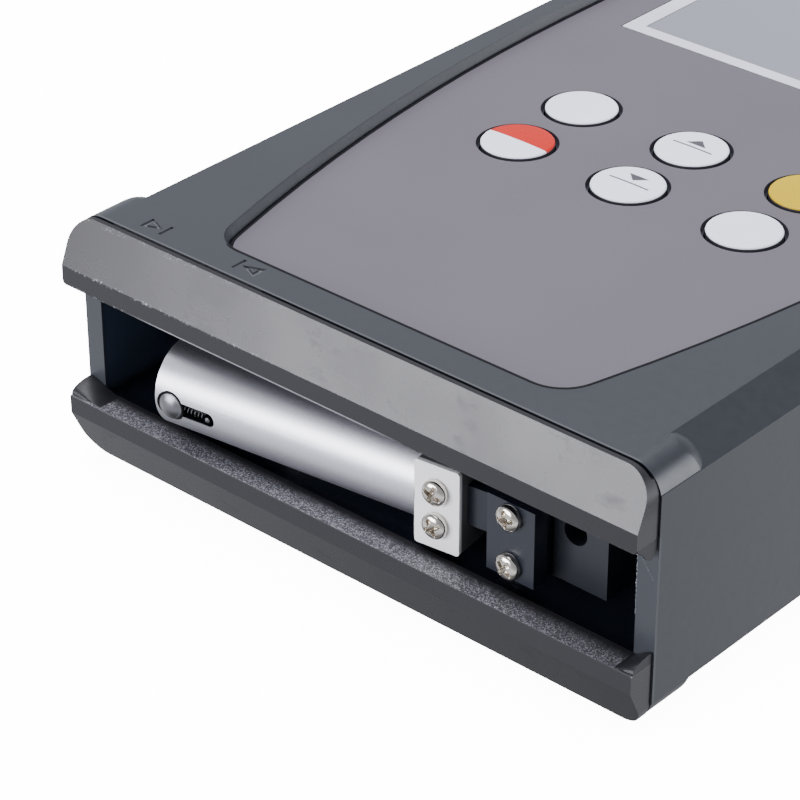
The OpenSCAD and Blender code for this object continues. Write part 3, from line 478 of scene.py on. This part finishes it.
class TESTER_OT_stage(bpy.types.Operator):
    """Camera, pale floor and soft light"""

    bl_idname = "tester.stage"
    bl_label = "Set the stage"

    def execute(self, context):
        s = context.scene.tester_stage
        self.camera(context, s)
        self.floor(context, s)
        self.light(context, s)
        return {"FINISHED"}

    def camera(self, context, s):
        """The camera that was fitted to the photo."""
        data = bpy.data.cameras.new("camera")
        data.lens, data.sensor_width, data.sensor_fit = s.lens, 36.0, "HORIZONTAL"
        data.clip_start, data.clip_end = 0.01, 20.0
        a, e = s.azimuth, s.elevation
        back = np.array([math.sin(a) * math.cos(e), -math.cos(a) * math.cos(e), math.sin(e)])
        level = np.array([math.cos(a), math.sin(a), 0.0])
        right = math.cos(s.roll) * level + math.sin(s.roll) * np.cross(back, level)
        camera = bpy.data.objects.new("camera", data)
        camera.matrix_world = posed(right, np.cross(back, right), back, s.eye)
        context.scene.collection.objects.link(camera)
        context.scene.camera = camera

    def floor(self, context, s):
        """A level sheet at height 0 that glows, so that it reads as white; only the camera sees it."""
        colour = tuple(s.floor)
        finish = Finish("pale_floor", colour, 0.75, Emission_Strength=s.glow, Emission_Color=(1, 1, 1, 1))
        finish.feed("Base Color", clouded(finish, colour, 0.02, 0.01, 2.0))
        half, count = 2.5, 9
        line = np.linspace(-half, half, count)
        x, y = np.meshgrid(line, line, indexing="ij")
        grid = np.stack([x, y, np.zeros_like(x)], -1)
        mesh = bpy.data.meshes.new("floor")
        mesh.from_pydata(grid.reshape(-1, 3).tolist(), [], quads(count, count, False, False, 0).tolist())
        mesh.materials.append(finish.material)
        floor = bpy.data.objects.new("floor", mesh)
        context.scene.collection.objects.link(floor)
        floor.visible_glossy = False
        floor.visible_diffuse = False

    def lamp(self, context, name, place, aim, size, power):
        """A soft rectangular lamp."""
        data = bpy.data.lights.new(name, "AREA")
        data.shape, data.size, data.size_y, data.energy = "RECTANGLE", size[0], size[1], power
        data.color = (0.94, 0.935, 1.0)
        z = np.array(place, float) - np.array(aim, float)
        z /= np.linalg.norm(z)
        x = np.cross(UP, z)
        x /= np.linalg.norm(x)
        lamp = bpy.data.objects.new(name, data)
        lamp.matrix_world = posed(x, np.cross(z, x), z, place)
        context.scene.collection.objects.link(lamp)

    def light(self, context, s):
        """A sky brighter behind, at the right and below, a low panel in front and one overhead."""
        world = bpy.data.worlds.new("studio")
        world.use_nodes = True
        context.scene.world = world
        n = Nodes(world.node_tree)
        way = n.node("ShaderNodeTexCoord", {}, {}, "Generated")
        low = n.node("ShaderNodeSeparateXYZ", {}, {0: way}, "Z")
        rear, right = (
            n.node("ShaderNodeVectorMath", {"operation": "DOT_PRODUCT"}, {0: way, 1: towards}, "Value")
            for towards in ((-0.66, 0.75, 0.0), (0.745, 0.66, 0.08)))
        below = low.ramp(-0.1, -0.4) * low.ramp(-0.85, -0.6) * 0.7 + low.ramp(-0.85, -0.55) * 0.35
        strength = (rear.ramp(0.1, 0.9) * 0.55 + right.ramp(0.88, 0.97) * 6.5 + below + 0.15) * s.sky
        background = n.tree.nodes["Background"]
        n.tree.links.new(strength.socket, background.inputs["Strength"])
        background.inputs["Color"].default_value = (0.92, 0.94, 1.0, 1.0)
        self.lamp(context, "front_panel", (-0.34, -0.94, 0.21), (0, 0, 0.02), (0.69, 0.42), s.front_power)
        self.lamp(context, "overhead", (-0.12, 0.05, 1.2), (0, 0, 0), (1.0, 1.0), s.top_power)


class TESTER_OT_housing(bpy.types.Operator):
    """Shells, bars, bay and printed panel"""

    bl_idname = "tester.housing"
    bl_label = "Finish the housing"

    def execute(self, context):
        s = context.scene.tester_housing
        dress(self.shell(s), "upper_housing", "lower_housing", "battery_door")
        dress(self.bar(s), "front_upper_bar", "front_lower_bar")
        self.bar_ends(moulded("ear_plastic", tuple(s.bar), 0.4, Specular_IOR_Level=0.35))
        dress(moulded("bay_plastic", tuple(s.bay), 0.16), "bay_tray")
        dress(self.overlay(s), "panel_overlay")
        self.panel_shade_line()
        self.burrs()
        return {"FINISHED"}

    def shell(self, s):
        """Moulded shell with painted light: wall fronts, slope and engraved marks painted lighter against their
        shade, a painted highlight on the edge, and painted light in the bay.

        The masks are bands measured from the boxes of the housing and the film: the fronts of the walls beside
        the bay, the slope round the film, the edge behind the upper bar, the engraved travel marks, and the bay
        less the post that hangs in it.
        """
        colour = tuple(s.shell)
        f = Finish("shell_plastic", colour, 0.34)
        (_, front, base), (right, _, top) = box_mm("upper_housing")
        (_, film_front, _), (_, film_rear, film_top) = box_mm("panel_overlay")
        # Painted light: the wall fronts, the slope round the film and the engraved marks are painted lighter in
        # place of their shade, and the edge behind the upper bar gets a painted highlight.
        walls = f.y.ramp(front + 0.4, front + 0.2) * f.z.ramp(top - 7.0, top - 8.0)
        slope = f.z.ramp(top - 0.05, top - 0.25) * f.z.ramp(film_top - 0.1, film_top + 0.05)
        slope = slope * f.y.ramp(film_front - 0.5, film_front - 0.2)
        slope = slope * f.y.ramp(film_rear + 2.0, film_rear + 1.0) * abs(f.x).ramp(right - 3.9, right - 4.3)
        edge = f.y.ramp(front + 0.25, front + 0.15) * f.z.ramp(top - 0.15, top - 0.05)
        marks = f.z.ramp(top - 0.03, top - 0.1) * f.z.ramp(top - 0.4, top - 0.3)
        marks = marks * f.y.ramp(front + 4.4, front + 4.3) * f.x.near(16.3 - right, 10.9, 11.0)
        paint = clouded(f, colour)
        for mask, painted_lighter in (
                (walls, (0.034, 0.039, 0.047)), (slope, (0.030, 0.033, 0.038)),
                (edge, (0.050, 0.053, 0.058)), (marks, (0.085, 0.088, 0.095))):
            paint = f.blend(mask, paint, painted_lighter)
        f.feed("Base Color", paint)
        rubbed(f, 0.34)
        # Painted light: the bay, less the post, is laid over with a paler bluish colour in place of light that
        # hardly reaches it.
        bay = f.y.ramp(front + 0.15, front + 0.45) * f.y.ramp(front + 30.7, front + 29.7)
        bay = bay * abs(f.x).ramp(right - 1.8, right - 2.3)
        bay = bay * f.z.ramp(top - 5.0, top - 5.5) * f.z.ramp(base - 1.4, base - 0.4)
        beside_post = f.x.ramp(right - 15.2, right - 15.7).most(f.x.ramp(right - 7.9, right - 7.5))
        f.over(bay * beside_post, (0.035, 0.047, 0.075), 0.4, 0.15)
        return f

    def bar(self, s):
        """Smooth dark bars: a dull flat behind the bevel, nicked edges, painted highlights along the lower
        edges, and a grained ledge below with painted light on it.

        The masks are bands in mm, measured from the bars' boxes, or along x from the middle. The bevel leans
        back from the top of the upper bar's foot, and `behind` is the distance behind its plane.
        """
        colour = tuple(s.bar)
        f = Finish("bar_plastic", colour, 0.27)
        (_, front, low), (right, back, top) = box_mm("front_upper_bar")
        ledge_z = box_mm("front_lower_bar")[1][2]
        foot_z, under_z, rim_z = low + 2.3, low + 0.05, ledge_z - 0.05
        bevel_y, bevel_z = 0.926, -0.377
        behind = (f.y - front) * bevel_y + (f.z - foot_z) * bevel_z
        flat = behind.ramp(0.03, 0.08) * f.z.ramp(foot_z + 0.45, top - 1.5)
        foot = f.z.near(foot_z, 0.04, 0.24) * f.y.ramp(front + 0.6, front + 0.3)
        crest = abs(behind).ramp(0.10, 0.02) * f.z.ramp(top - 0.6, top - 0.3)
        under = f.z.near(under_z, 0.03, 0.2) * f.y.ramp(front + 0.4, front + 0.2)
        nick = f.noise(3.4, 3.0, 0.7, (0.7, 1.0, 1.0)).ramp(0.54, 0.61) * f.noise(0.45, 2.0).ramp(0.44, 0.54)
        left = f.x.ramp(-6.0, -34.0) * 0.94 + 0.06
        worn = foot.most(crest * 0.3).most(under * 0.6) * nick * left * s.wear
        # Painted highlight: a thin pale line along the upper bar's lower front edge.
        line = f.z.near(under_z, 0.04, 0.10) * f.y.ramp(front + 0.25, front + 0.1)
        line = line * f.x.ramp(-30.0, -24.0) * f.x.ramp(10.0, 4.0) * 0.45
        ledge = f.z.ramp(ledge_z - 0.09, ledge_z - 0.03) * f.z.ramp(ledge_z + 0.19, ledge_z + 0.03)
        ledge = ledge * abs(f.x).ramp(right - 1.3, right - 2.5)
        grain = f.noise(7.5, 1.0, 0.4)
        # Grain on the ledge plus painted light: an even lighter base over the ledge, fading to painted shade
        # towards the back and weaker towards the right.
        grain_and_painted_light = (grain.ramp(0.52, 0.60) * 0.5 + 0.06) * ledge * f.y.ramp(back - 0.5, back - 1.9)
        grain_and_painted_light = grain_and_painted_light * (f.x.ramp(42.0, 12.0) * 0.6 + 0.4)
        # Painted highlight: a thin, grainy pale line along the ledge's front edge, stronger on the left.
        rim = f.z.near(rim_z, 0.04, 0.16) * f.y.ramp(front + 0.25, front + 0.05)
        rim = rim * (grain.ramp(0.50, 0.58) * left * 0.22 + 0.04)
        # Nicks and grain, together with the painted highlights and the painted light on the ledge, all go to
        # one pale colour.
        nicks_and_painted_highlights = worn.most(grain_and_painted_light).most(rim).most(line)
        f.feed("Base Color", f.blend(nicks_and_painted_highlights, colour, (0.62, 0.62, 0.68)))
        scuff = f.noise(0.35, 5.0, 0.7, (0.6, 1.0, 1.0)).ramp(0.56, 0.74) * 0.10
        cloud = f.noise(0.08, 2.0).ramp(0.35, 0.65) * 0.06
        f.feed("Roughness", scuff + cloud + f.noise(1.3, 4.0, 0.6) * 0.03 + 0.225 + ledge * 0.2)
        f.bump(grain * ledge * 0.6 + f.noise(8.0, 2.0) * 0.003, 0.05 * MM, 0.8)
        dull = f.z.ramp(rim_z, ledge_z - 0.35) * f.x.ramp(32.0, 8.0) * 0.2
        f.over(flat.most(dull), tint(colour, 0.9), 0.45, 0.2)
        return f

    def overlay(self, s):
        """Printed film: even grey with a fine matt grain."""
        colour = tuple(s.overlay)
        f = Finish("overlay_film", colour, 0.38)
        f.feed("Base Color", clouded(f, colour, 0.04, 0.05, 2.0))
        f.feed("Roughness", f.noise(2.0, 3.0).ramp(0.2, 0.8) * 0.06 + 0.36)
        f.bump(f.noise(9.0, 2.0), 0.003 * MM, 0.5)
        return f

    def bar_ends(self, finish):
        """Soft ears at the ends of the bars: the height eases up along the bar and from the front to the rear.

        The upper ears hang down and round off at the rear; the lower ones rise as a quarter circle.
        """
        u, v = np.linspace(0, 1, 21)[:, None], np.linspace(0, 1, 25)[None, :]
        hang = ease(u) * ease(v * 1.5) * np.sqrt(np.clip(1 - np.clip((v - 0.78) / 0.22, 0, 1) ** 2, 0.02, 1))
        rise = ease(u) * np.sqrt(np.clip(1 - (1 - v) ** 2, 0, 1))
        root_depth, front_gap, rear_gap, end_gap = 0.7 * MM, 0.25 * MM, 0.05 * MM, 0.01 * MM
        for node, name, sign, reach, lift in (
                ("front_upper_bar", "upper_bar_ears", -1, (2.4, 2.4), 1.7 * MM * hang),
                ("front_lower_bar", "lower_bar_ears", 1, (4.6, 2.2), 1.1 * MM * rise)):
            low, high = corners_of(node)
            face = low[2] if sign < 0 else high[2]
            depth = high[1] - low[1] - front_gap - rear_gap
            y = np.broadcast_to(low[1] + front_gap + v * depth, lift.shape)
            grids = []
            for side, end, long in ((-1, low[0], reach[0]), (1, high[0], reach[1])):
                x = np.broadcast_to(end - side * (end_gap + (1 - u) * long * MM), lift.shape)
                skin = np.stack([x, y, face + sign * lift], -1)
                root = np.stack([x, y, np.full_like(lift, face - sign * root_depth)], -1)[:, ::-1]
                ring = np.concatenate([skin, root], 1)
                caps = np.broadcast_to(ring.mean(1, keepdims=True), ring.shape)
                grids.append((np.concatenate([caps[:1], ring, caps[-1:]]), False, True))
            piece(name, grids, finish, body="instrument")

    def panel_shade_line(self):
        """Painted shade round the printed film: a low black bead along its outline in the shaded gap, which
        climbs the rim at the front as a painted shadow line.

        A flat section is carried round the film's outline. Where the outline faces the front right it is moved
        outwards and eased up to the top of the housing.
        """
        flat = points_of("panel_overlay")[:, :2]
        corners = flat[convex_hull_2d(flat.tolist())]
        corners = np.concatenate([corners, corners[:1]])
        run = np.concatenate([[0], np.cumsum(np.linalg.norm(np.diff(corners, axis=0), axis=1))])
        t = np.linspace(0, run[-1], 900, endpoint=False)
        path = np.stack([np.interp(t, run, corners[:, 0]), np.interp(t, run, corners[:, 1])], -1)
        way = np.roll(path, -1, 0) - np.roll(path, 1, 0)
        way /= np.linalg.norm(way, axis=1, keepdims=True)
        out = np.stack([way[:, 1], -way[:, 0]], -1)
        out *= np.sign(np.sum(out * (path - path.mean(0)), 1, keepdims=True))
        front_right = np.array([0.667, -0.745])
        climb = ease((out @ front_right + 0.05) / 0.5)[:, None]
        film_top, shell_top = (corners_of(node)[1][2] for node in ("panel_overlay", "upper_housing"))
        section = MM * np.array(
            [[0.08, -0.2], [0.08, 0.02], [0.0, 0.04], [-0.20, 0.04], [-0.26, 0.0], [-0.26, -0.2]])
        across = path[:, None] + (section[None, :, 0] + climb * 0.78 * MM)[..., None] * out[:, None]
        height = (film_top + climb * (shell_top - film_top) + section[None, :, 1])[..., None]
        finish = moulded("shade_line_black", (0.003, 0.003, 0.004), 0.6, Specular_IOR_Level=0.1)
        piece("panel_shade_line", [(np.concatenate([across, height], -1), True, True)], finish,
              body="instrument")

    def burrs(self):
        """Moulding burrs on the front edge of the right wall: strands whose radius jumps at random.

        Each strand is a straight line between two points, in mm from the right side and above the floor.
        """
        low, high = corners_of("upper_housing")
        chance = np.random.default_rng(7)
        steps = 140
        t = np.linspace(0, 1, steps)[:, None]
        grids = []
        for start, end, thick in (((2.5, 20.6), (2.5, 12.6), 0.24), ((2.4, 20.0), (0.5, 17.4), 0.12)):
            inset, height = (MM * (a + (b - a) * t) for a, b in zip(start, end))
            edge = np.concatenate([high[0] - inset, np.full_like(t, low[1]), height], 1)
            rough = np.convolve(chance.random(steps) ** 3, (0.2, 0.6, 0.2), "same")
            radius = MM * (0.012 + thick * rough * (1 - 0.6 * t[:, 0]))
            grids.append((swept(edge, radius, (0, 1, 0), 6), False, True))
        finish = moulded("burr_plastic", (0.16, 0.18, 0.20), 0.3)
        piece("wall_burrs", grids, finish, body="instrument")


class TESTER_OT_display(bpy.types.Operator):
    """Display border, window and cell"""

    bl_idname = "tester.display"
    bl_label = "Finish the display"

    def execute(self, context):
        dress(moulded("border_print", (0.575, 0.575, 0.63), 0.35), "lcd_frame")
        f = Finish("display_window", (0.15, 0.16, 0.17), 0.12)
        # Painted light: the window is painted lighter towards the back right.
        painted_light_sweep = f.reach((0.6, 1.0)).ramp(-10.0, 70.0)
        f.feed("Base Color", f.blend(painted_light_sweep, (0.168, 0.172, 0.203), (0.206, 0.212, 0.246)))
        f.feed("Roughness", f.noise(0.8, 3.0).ramp(0.3, 0.7) * 0.05 + 0.1)
        dress(f, "lcd_window")
        dress(moulded("display_cell", (0.35, 0.38, 0.37), 0.4), "lcd_module")
        return {"FINISHED"}


class TESTER_OT_keys(bpy.types.Operator):
    """Crowned key caps with their printed marks"""

    bl_idname = "tester.keys"
    bl_label = "Make the keys"

    def execute(self, context):
        s = context.scene.tester_keys
        white, yellow = tuple(s.white), tuple(s.yellow)
        for node, colour, slot in (
                ("key_power", white, "key_red"), ("key_down", white, "key_white"),
                ("key_cutoff", white, "key_white"), ("key_calibrate", white, "key_white"),
                ("key_up", white, "key_white"), ("key_start", yellow, "key_yellow")):
            low, high = corners_of(node)
            middle = (low + high) / 2
            finish = Finish(node + "_cap", colour, 0.3, Specular_IOR_Level=0.15)
            finish.feed("Base Color", self.paint(s, node, finish, middle / MM, colour))
            rubbed(finish, 0.3)
            # Painted shade: the cap's wall below its rim takes the dark ring colour.
            wall_top = float(high[2] - s.crown - 0.7 * s.edge) / MM
            finish.over(finish.z.ramp(wall_top + 0.04, wall_top - 0.04), tuple(s.ring), 0.5, 0.2)
            self.cap(s, node, low, high, middle, finish, slot)
        return {"FINISHED"}

    def paint(self, s, node, f, middle, colour):
        """The colour of a cap: two halves, a mark on plain, or plain."""
        if node == "key_power":
            return f.blend((f.y - middle[1]).ramp(-0.05, 0.05), colour, tuple(s.red))
        if node in ("key_down", "key_up"):
            mark = self.mark(f.x - middle[0], f.y - middle[1], node == "key_up")
            return f.blend(mark, colour, tuple(s.mark))
        return clouded(f, colour)

    def mark(self, x, y, upward):
        """A small triangle over a bar, in mm from the middle of the cap."""
        bar = y.near(0.1, 0.10, 0.16) * abs(x).ramp(2.75, 2.65)
        rise = 2.05 - y if upward else y - 0.75
        triangle = (rise * 1.05 - abs(x)).ramp(-0.03, 0.03) * rise.ramp(1.33, 1.27)
        return bar.most(triangle)

    def cap(self, s, node, low, high, middle, finish, slot):
        """A flange, an upright wall, a rounded rim and a low dome, carried round the key's axis."""
        flange_r = (high[0] - low[0]) / 2
        cap_r = flange_r - 0.8 * MM
        seat, step = low[2], low[2] + 0.9 * MM
        wall = np.array([[0, seat], [flange_r, seat], [flange_r, step], [cap_r, step]])
        top = rounded(cap_r, s.edge, s.crown, high[2], 7, 12)
        points = revolved(np.concatenate([wall, top]), 96) + middle * (1.0, 1.0, 0.0)
        piece("cap_" + node[4:], [(points, True, False)], finish, [node])


class TESTER_OT_pickup(bpy.types.Operator):
    """Pickup tube, clamp block, domed skid and stylus"""

    bl_idname = "tester.pickup"
    bl_label = "Make the pickup"

    def execute(self, context):
        s = context.scene.tester_metal
        steel = metal("skid_steel", (0.20, 0.20, 0.215), 0.34)
        tube = along(points_of("pickup_tube"), PICKUP_AXIS)
        skid = along(points_of("skid"), FORWARD)
        dress(self.tube(s, tube), "pickup_tube")
        dress(self.block(s), "pickup_block")
        dress(steel, "stylus_arm", "stylus_pivot", "pivot_pin")
        dress(metal("coil_copper", (0.45, 0.18, 0.06), 0.4, (0.2, 1, 1)), "pickup_coil")
        self.skid(skid, steel)
        self.seat(skid, tube)
        self.spring(s, skid, steel)
        return {"FINISHED"}

    def tube(self, s, tube):
        """Satin tube; what lies inside its outer face is painted dark as shade, apart from its free end."""
        f = metal("tube_satin", tuple(s.tube), 0.40, scale=6.0, relief=0.003 * MM)
        radius, near = tube.radius / MM, tube.near / MM
        fore = f.reach(FORWARD) - tube.centre @ FORWARD / MM
        rise = f.z - tube.centre[2] / MM
        inside = (fore * fore + rise * rise).ramp((radius - 0.05) ** 2, (radius - 0.15) ** 2)
        past_end = f.reach(PICKUP_AXIS).ramp(near + 0.05, near + 0.15)
        # Painted shade: the inside of the tube, apart from its free end, is laid over with near black.
        f.over(inside * past_end, (0.006, 0.006, 0.008), 0.5, 0.1)
        return f

    def block(self, s):
        """Blasted white front; the milled sides are painted darker as shade."""
        f = moulded("block_blasted", tuple(s.block), 0.5)
        depth = float((points_of("pickup_block") @ FORWARD).max()) / MM - f.reach(FORWARD)
        # Painted shade: faces from about half a mm behind the front are laid over with dark grey.
        f.over(depth.ramp(0.3, 0.6), (0.10, 0.10, 0.105), 0.35, 0.4)
        return f

    def skid(self, skid, finish):
        """A round stem with a rounded rim and a dome that falls as the square of the radius."""
        edge, crown = 0.22 * MM, 0.38 * MM
        foot = skid.near - skid.far
        stem = np.array([[0, foot], [skid.radius, foot]])
        profile = np.concatenate([stem, rounded(skid.radius, edge, crown, 0.0, 6, 14)])
        points = placed(revolved(profile, 72), skid.centre + skid.far * FORWARD, FORWARD, (1, 0, 0))
        piece("domed_skid", [(points, True, False)], finish, ["skid"])

    def seat(self, skid, tube):
        """A black ring round the skid, painted shade for the gap it sits in: a bead whose middle line is a
        circle laid on the tube's round face.
        """
        angle = np.linspace(0, 2 * np.pi, 72, endpoint=False)[:, None]
        bead = np.linspace(0, 2 * np.pi, 10, endpoint=False)[None, :]
        reach = skid.radius + MM * (0.10 + 0.12 * np.cos(bead))
        z = skid.centre[2] + reach * np.sin(angle)
        face = np.sqrt(tube.radius ** 2 - (z - tube.centre[2]) ** 2)
        fore = face + 0.05 * MM * np.sin(bead) + tube.centre @ FORWARD
        axial = skid.centre @ PICKUP_AXIS + reach * np.cos(angle)
        ring = fore[..., None] * FORWARD + axial[..., None] * PICKUP_AXIS + z[..., None] * UP
        black = moulded("skid_shade_black", (0.004, 0.004, 0.005), 0.5, Specular_IOR_Level=0.1)
        piece("skid_shade_ring", [(ring, True, True)], black, body="pickup")

    def spring(self, s, skid, finish):
        """A fine wire in the stylus slot, beside the tip: a helix about a line along the pickup's axis."""
        turns, coil_r, length = 5.5, 0.42 * MM, 2.6 * MM
        gap, sink = 0.15 * MM, 1.15 * MM
        t = np.linspace(0, 1, 260)
        turn = 2 * np.pi * turns * t
        line = skid.centre + FORWARD * (skid.far - sink)
        path = line + np.outer(skid.radius + gap + t * length, PICKUP_AXIS)
        path += coil_r * (np.outer(np.cos(turn), FORWARD) + np.outer(np.sin(turn), UP))
        wire = swept(path, np.full(len(path), s.spring_wire / 2), np.cross(FORWARD, UP))
        piece("stylus_hairspring", [(wire, False, True)], finish, body="pickup")


class TESTER_OT_traverse(bpy.types.Operator):
    """Lead screw with its thread, rods, bushes, motor and carriage"""

    bl_idname = "tester.traverse"
    bl_label = "Make the traverse"

    def execute(self, context):
        s = context.scene.tester_metal
        bay = tuple(context.scene.tester_housing.bay)
        steel = metal("rod_steel", tuple(s.steel), 0.28, (0.1, 1, 1))
        dress(steel, "guide_rod_lower", "guide_rod_upper")
        dress(metal("frame_zinc", (0.42, 0.43, 0.45), 0.42), "mech_frame", "motor_gearbox", "drive_motor")
        dress(metal("bush_brass", tuple(s.brass), 0.35, (0.3, 1, 1)),
              "screw_bush_left", "screw_bush_right", "carriage_nut", "rod_bushes")
        dress(moulded("carriage_plastic", bay, 0.3), "carriage", "bracket_plate", "hinge_tongue")
        self.thread(s, steel)
        return {"FINISHED"}

    def thread(self, s, finish):
        """A rod whose radius falls and rises with the distance along it and the turn about it."""
        low, high = corners_of("lead_screw")
        radius = (high[1] - low[1]) / 2
        middle = (low + high) / 2
        rows, turns = 420, 40
        x = np.linspace(low[0], high[0], rows)[:, None]
        angle = np.linspace(0, 2 * np.pi, turns, endpoint=False)[None, :]
        phase = x / s.thread_pitch + s.thread_starts * angle / (2 * np.pi)
        tooth = np.clip(abs(phase % 1.0 - 0.5) * 4.0 - 0.5, 0, 1)
        tooth[[0, -1]] = 1.0
        # One more row at each end, of radius 0, closes the rod.
        r = np.pad(radius - s.thread_depth * tooth, ((1, 1), (0, 0)))
        x = np.broadcast_to(np.pad(x, ((1, 1), (0, 0)), "edge"), r.shape)
        points = np.stack([x, middle[1] + r * np.cos(angle), middle[2] + r * np.sin(angle)], -1)
        piece("threaded_lead_screw", [(points, False, True)], finish, ["lead_screw"])


class TESTER_OT_screws(bpy.types.Operator):
    """Cross recess screws on the pickup, the bracket, the frame, the board and the base"""

    bl_idname = "tester.screws"
    bl_label = "Make the screws"

    def execute(self, context):
        s = context.scene.tester_metal
        nickel = metal("screw_nickel", tuple(s.nickel), 0.16)
        zinc = metal("screw_zinc", (0.45, 0.45, 0.46), 0.32)
        self.row("block_screws", nickel, FORWARD, Screw(1.1, 0.8, 4.0, "nickel", 0.5, 0.7))
        self.row("bracket_screws", nickel, (0, -1, 0), Screw(1.1, 0.8, 3.4, "nickel", 0.9, -0.7))
        self.row("frame_screws", nickel, UP, Screw(0.7, 0.8, 1.0, "nickel", 0.3, 0.7))
        self.row("board_screws", zinc, -UP, Screw(1.2, 1.0, 5.0, "zinc", 0.4, 0.7))
        self.row("housing_screws", zinc, -UP, Screw(1.7, 1.25, 14.0, "zinc", 0.6, 0.7))
        return {"FINISHED"}

    def row(self, node, finish, outward, screw):
        """A screw for each solid of the node: the head is at the solid's outer end along outward.

        The sizes are in mm. Each cross is turned by a step, in radians, from the one before it.
        """
        axis = np.array(outward, float)
        upright = abs(axis[2]) > 0.5
        head_h = screw.head_h * MM
        grids = []
        for i, solid in enumerate(solids_of(node)):
            held = along(solid, axis)
            c, d = math.cos(screw.turn + screw.step * i), math.sin(screw.turn + screw.step * i)
            points = pan_screw(held.radius, head_h, screw.shank_r * MM, screw.shank_l * MM)
            seat = held.centre + axis * (held.far - head_h)
            grids.append((placed(points, seat, axis, (c, d, 0) if upright else (c, 0, d)), True, False))
        piece("cross_" + node, grids, finish, [node], sharp=50.0)


class TESTER_OT_inside(bpy.types.Operator):
    """Board, switches, cells and contacts"""

    bl_idname = "tester.inside"
    bl_label = "Finish the inside"

    def execute(self, context):
        s = context.scene.tester_metal
        dress(moulded("board_mask", (0.02, 0.10, 0.04), 0.35), "main_board")
        dress(moulded("chip_black", (0.015, 0.015, 0.017), 0.5), "board_chips", "tact_switches", "buzzer")
        dress(metal("contact_nickel", tuple(s.nickel), 0.3), "battery_springs", "battery_plates")
        cells = ["battery_cell_%d" % i for i in range(1, 5)]
        copper = (0.45, 0.17, 0.05)
        band_y = box_mm(cells[0])[1][1] - 12.0
        f = Finish("cell_jacket", copper, 0.3, 0.4)
        f.feed("Base Color", f.blend(f.y.ramp(band_y, band_y + 0.2), (0.02, 0.02, 0.022), copper))
        dress(f, *cells)
        return {"FINISHED"}


class TESTER_PT_panel(bpy.types.Panel):
    """Lists the steps and the settings"""

    bl_idname = "TESTER_PT_panel"
    bl_label = "Roughness tester"
    bl_space_type = "VIEW_3D"
    bl_region_type = "UI"
    bl_category = "Tester"

    def draw(self, context):
        for step in STEPS:
            self.layout.operator(step.bl_idname)
        for name in SETTINGS:
            box = self.layout.box()
            group = getattr(context.scene, name)
            for key in group.__annotations__:
                box.prop(group, key)


SETTINGS = {"tester_housing": HousingSettings, "tester_keys": KeySettings,
            "tester_metal": MetalSettings, "tester_stage": StageSettings}
STEPS = (TESTER_OT_stage, TESTER_OT_housing, TESTER_OT_display, TESTER_OT_keys, TESTER_OT_pickup,
         TESTER_OT_traverse, TESTER_OT_screws, TESTER_OT_inside)


def register():
    for cls in (*SETTINGS.values(), *STEPS, TESTER_PT_panel):
        bpy.utils.register_class(cls)
    for name, cls in SETTINGS.items():
        setattr(bpy.types.Scene, name, bpy.props.PointerProperty(type=cls))


def unregister():
    for name in SETTINGS:
        delattr(bpy.types.Scene, name)
    for cls in (TESTER_PT_panel, *reversed(STEPS), *reversed(list(SETTINGS.values()))):
        bpy.utils.unregister_class(cls)


def main():
    """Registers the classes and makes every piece."""
    register()
    bpy.ops.tester.stage()
    bpy.ops.tester.housing()
    bpy.ops.tester.display()
    bpy.ops.tester.keys()
    bpy.ops.tester.pickup()
    bpy.ops.tester.traverse()
    bpy.ops.tester.screws()
    bpy.ops.tester.inside()


if __name__ == "__main__":
    main()
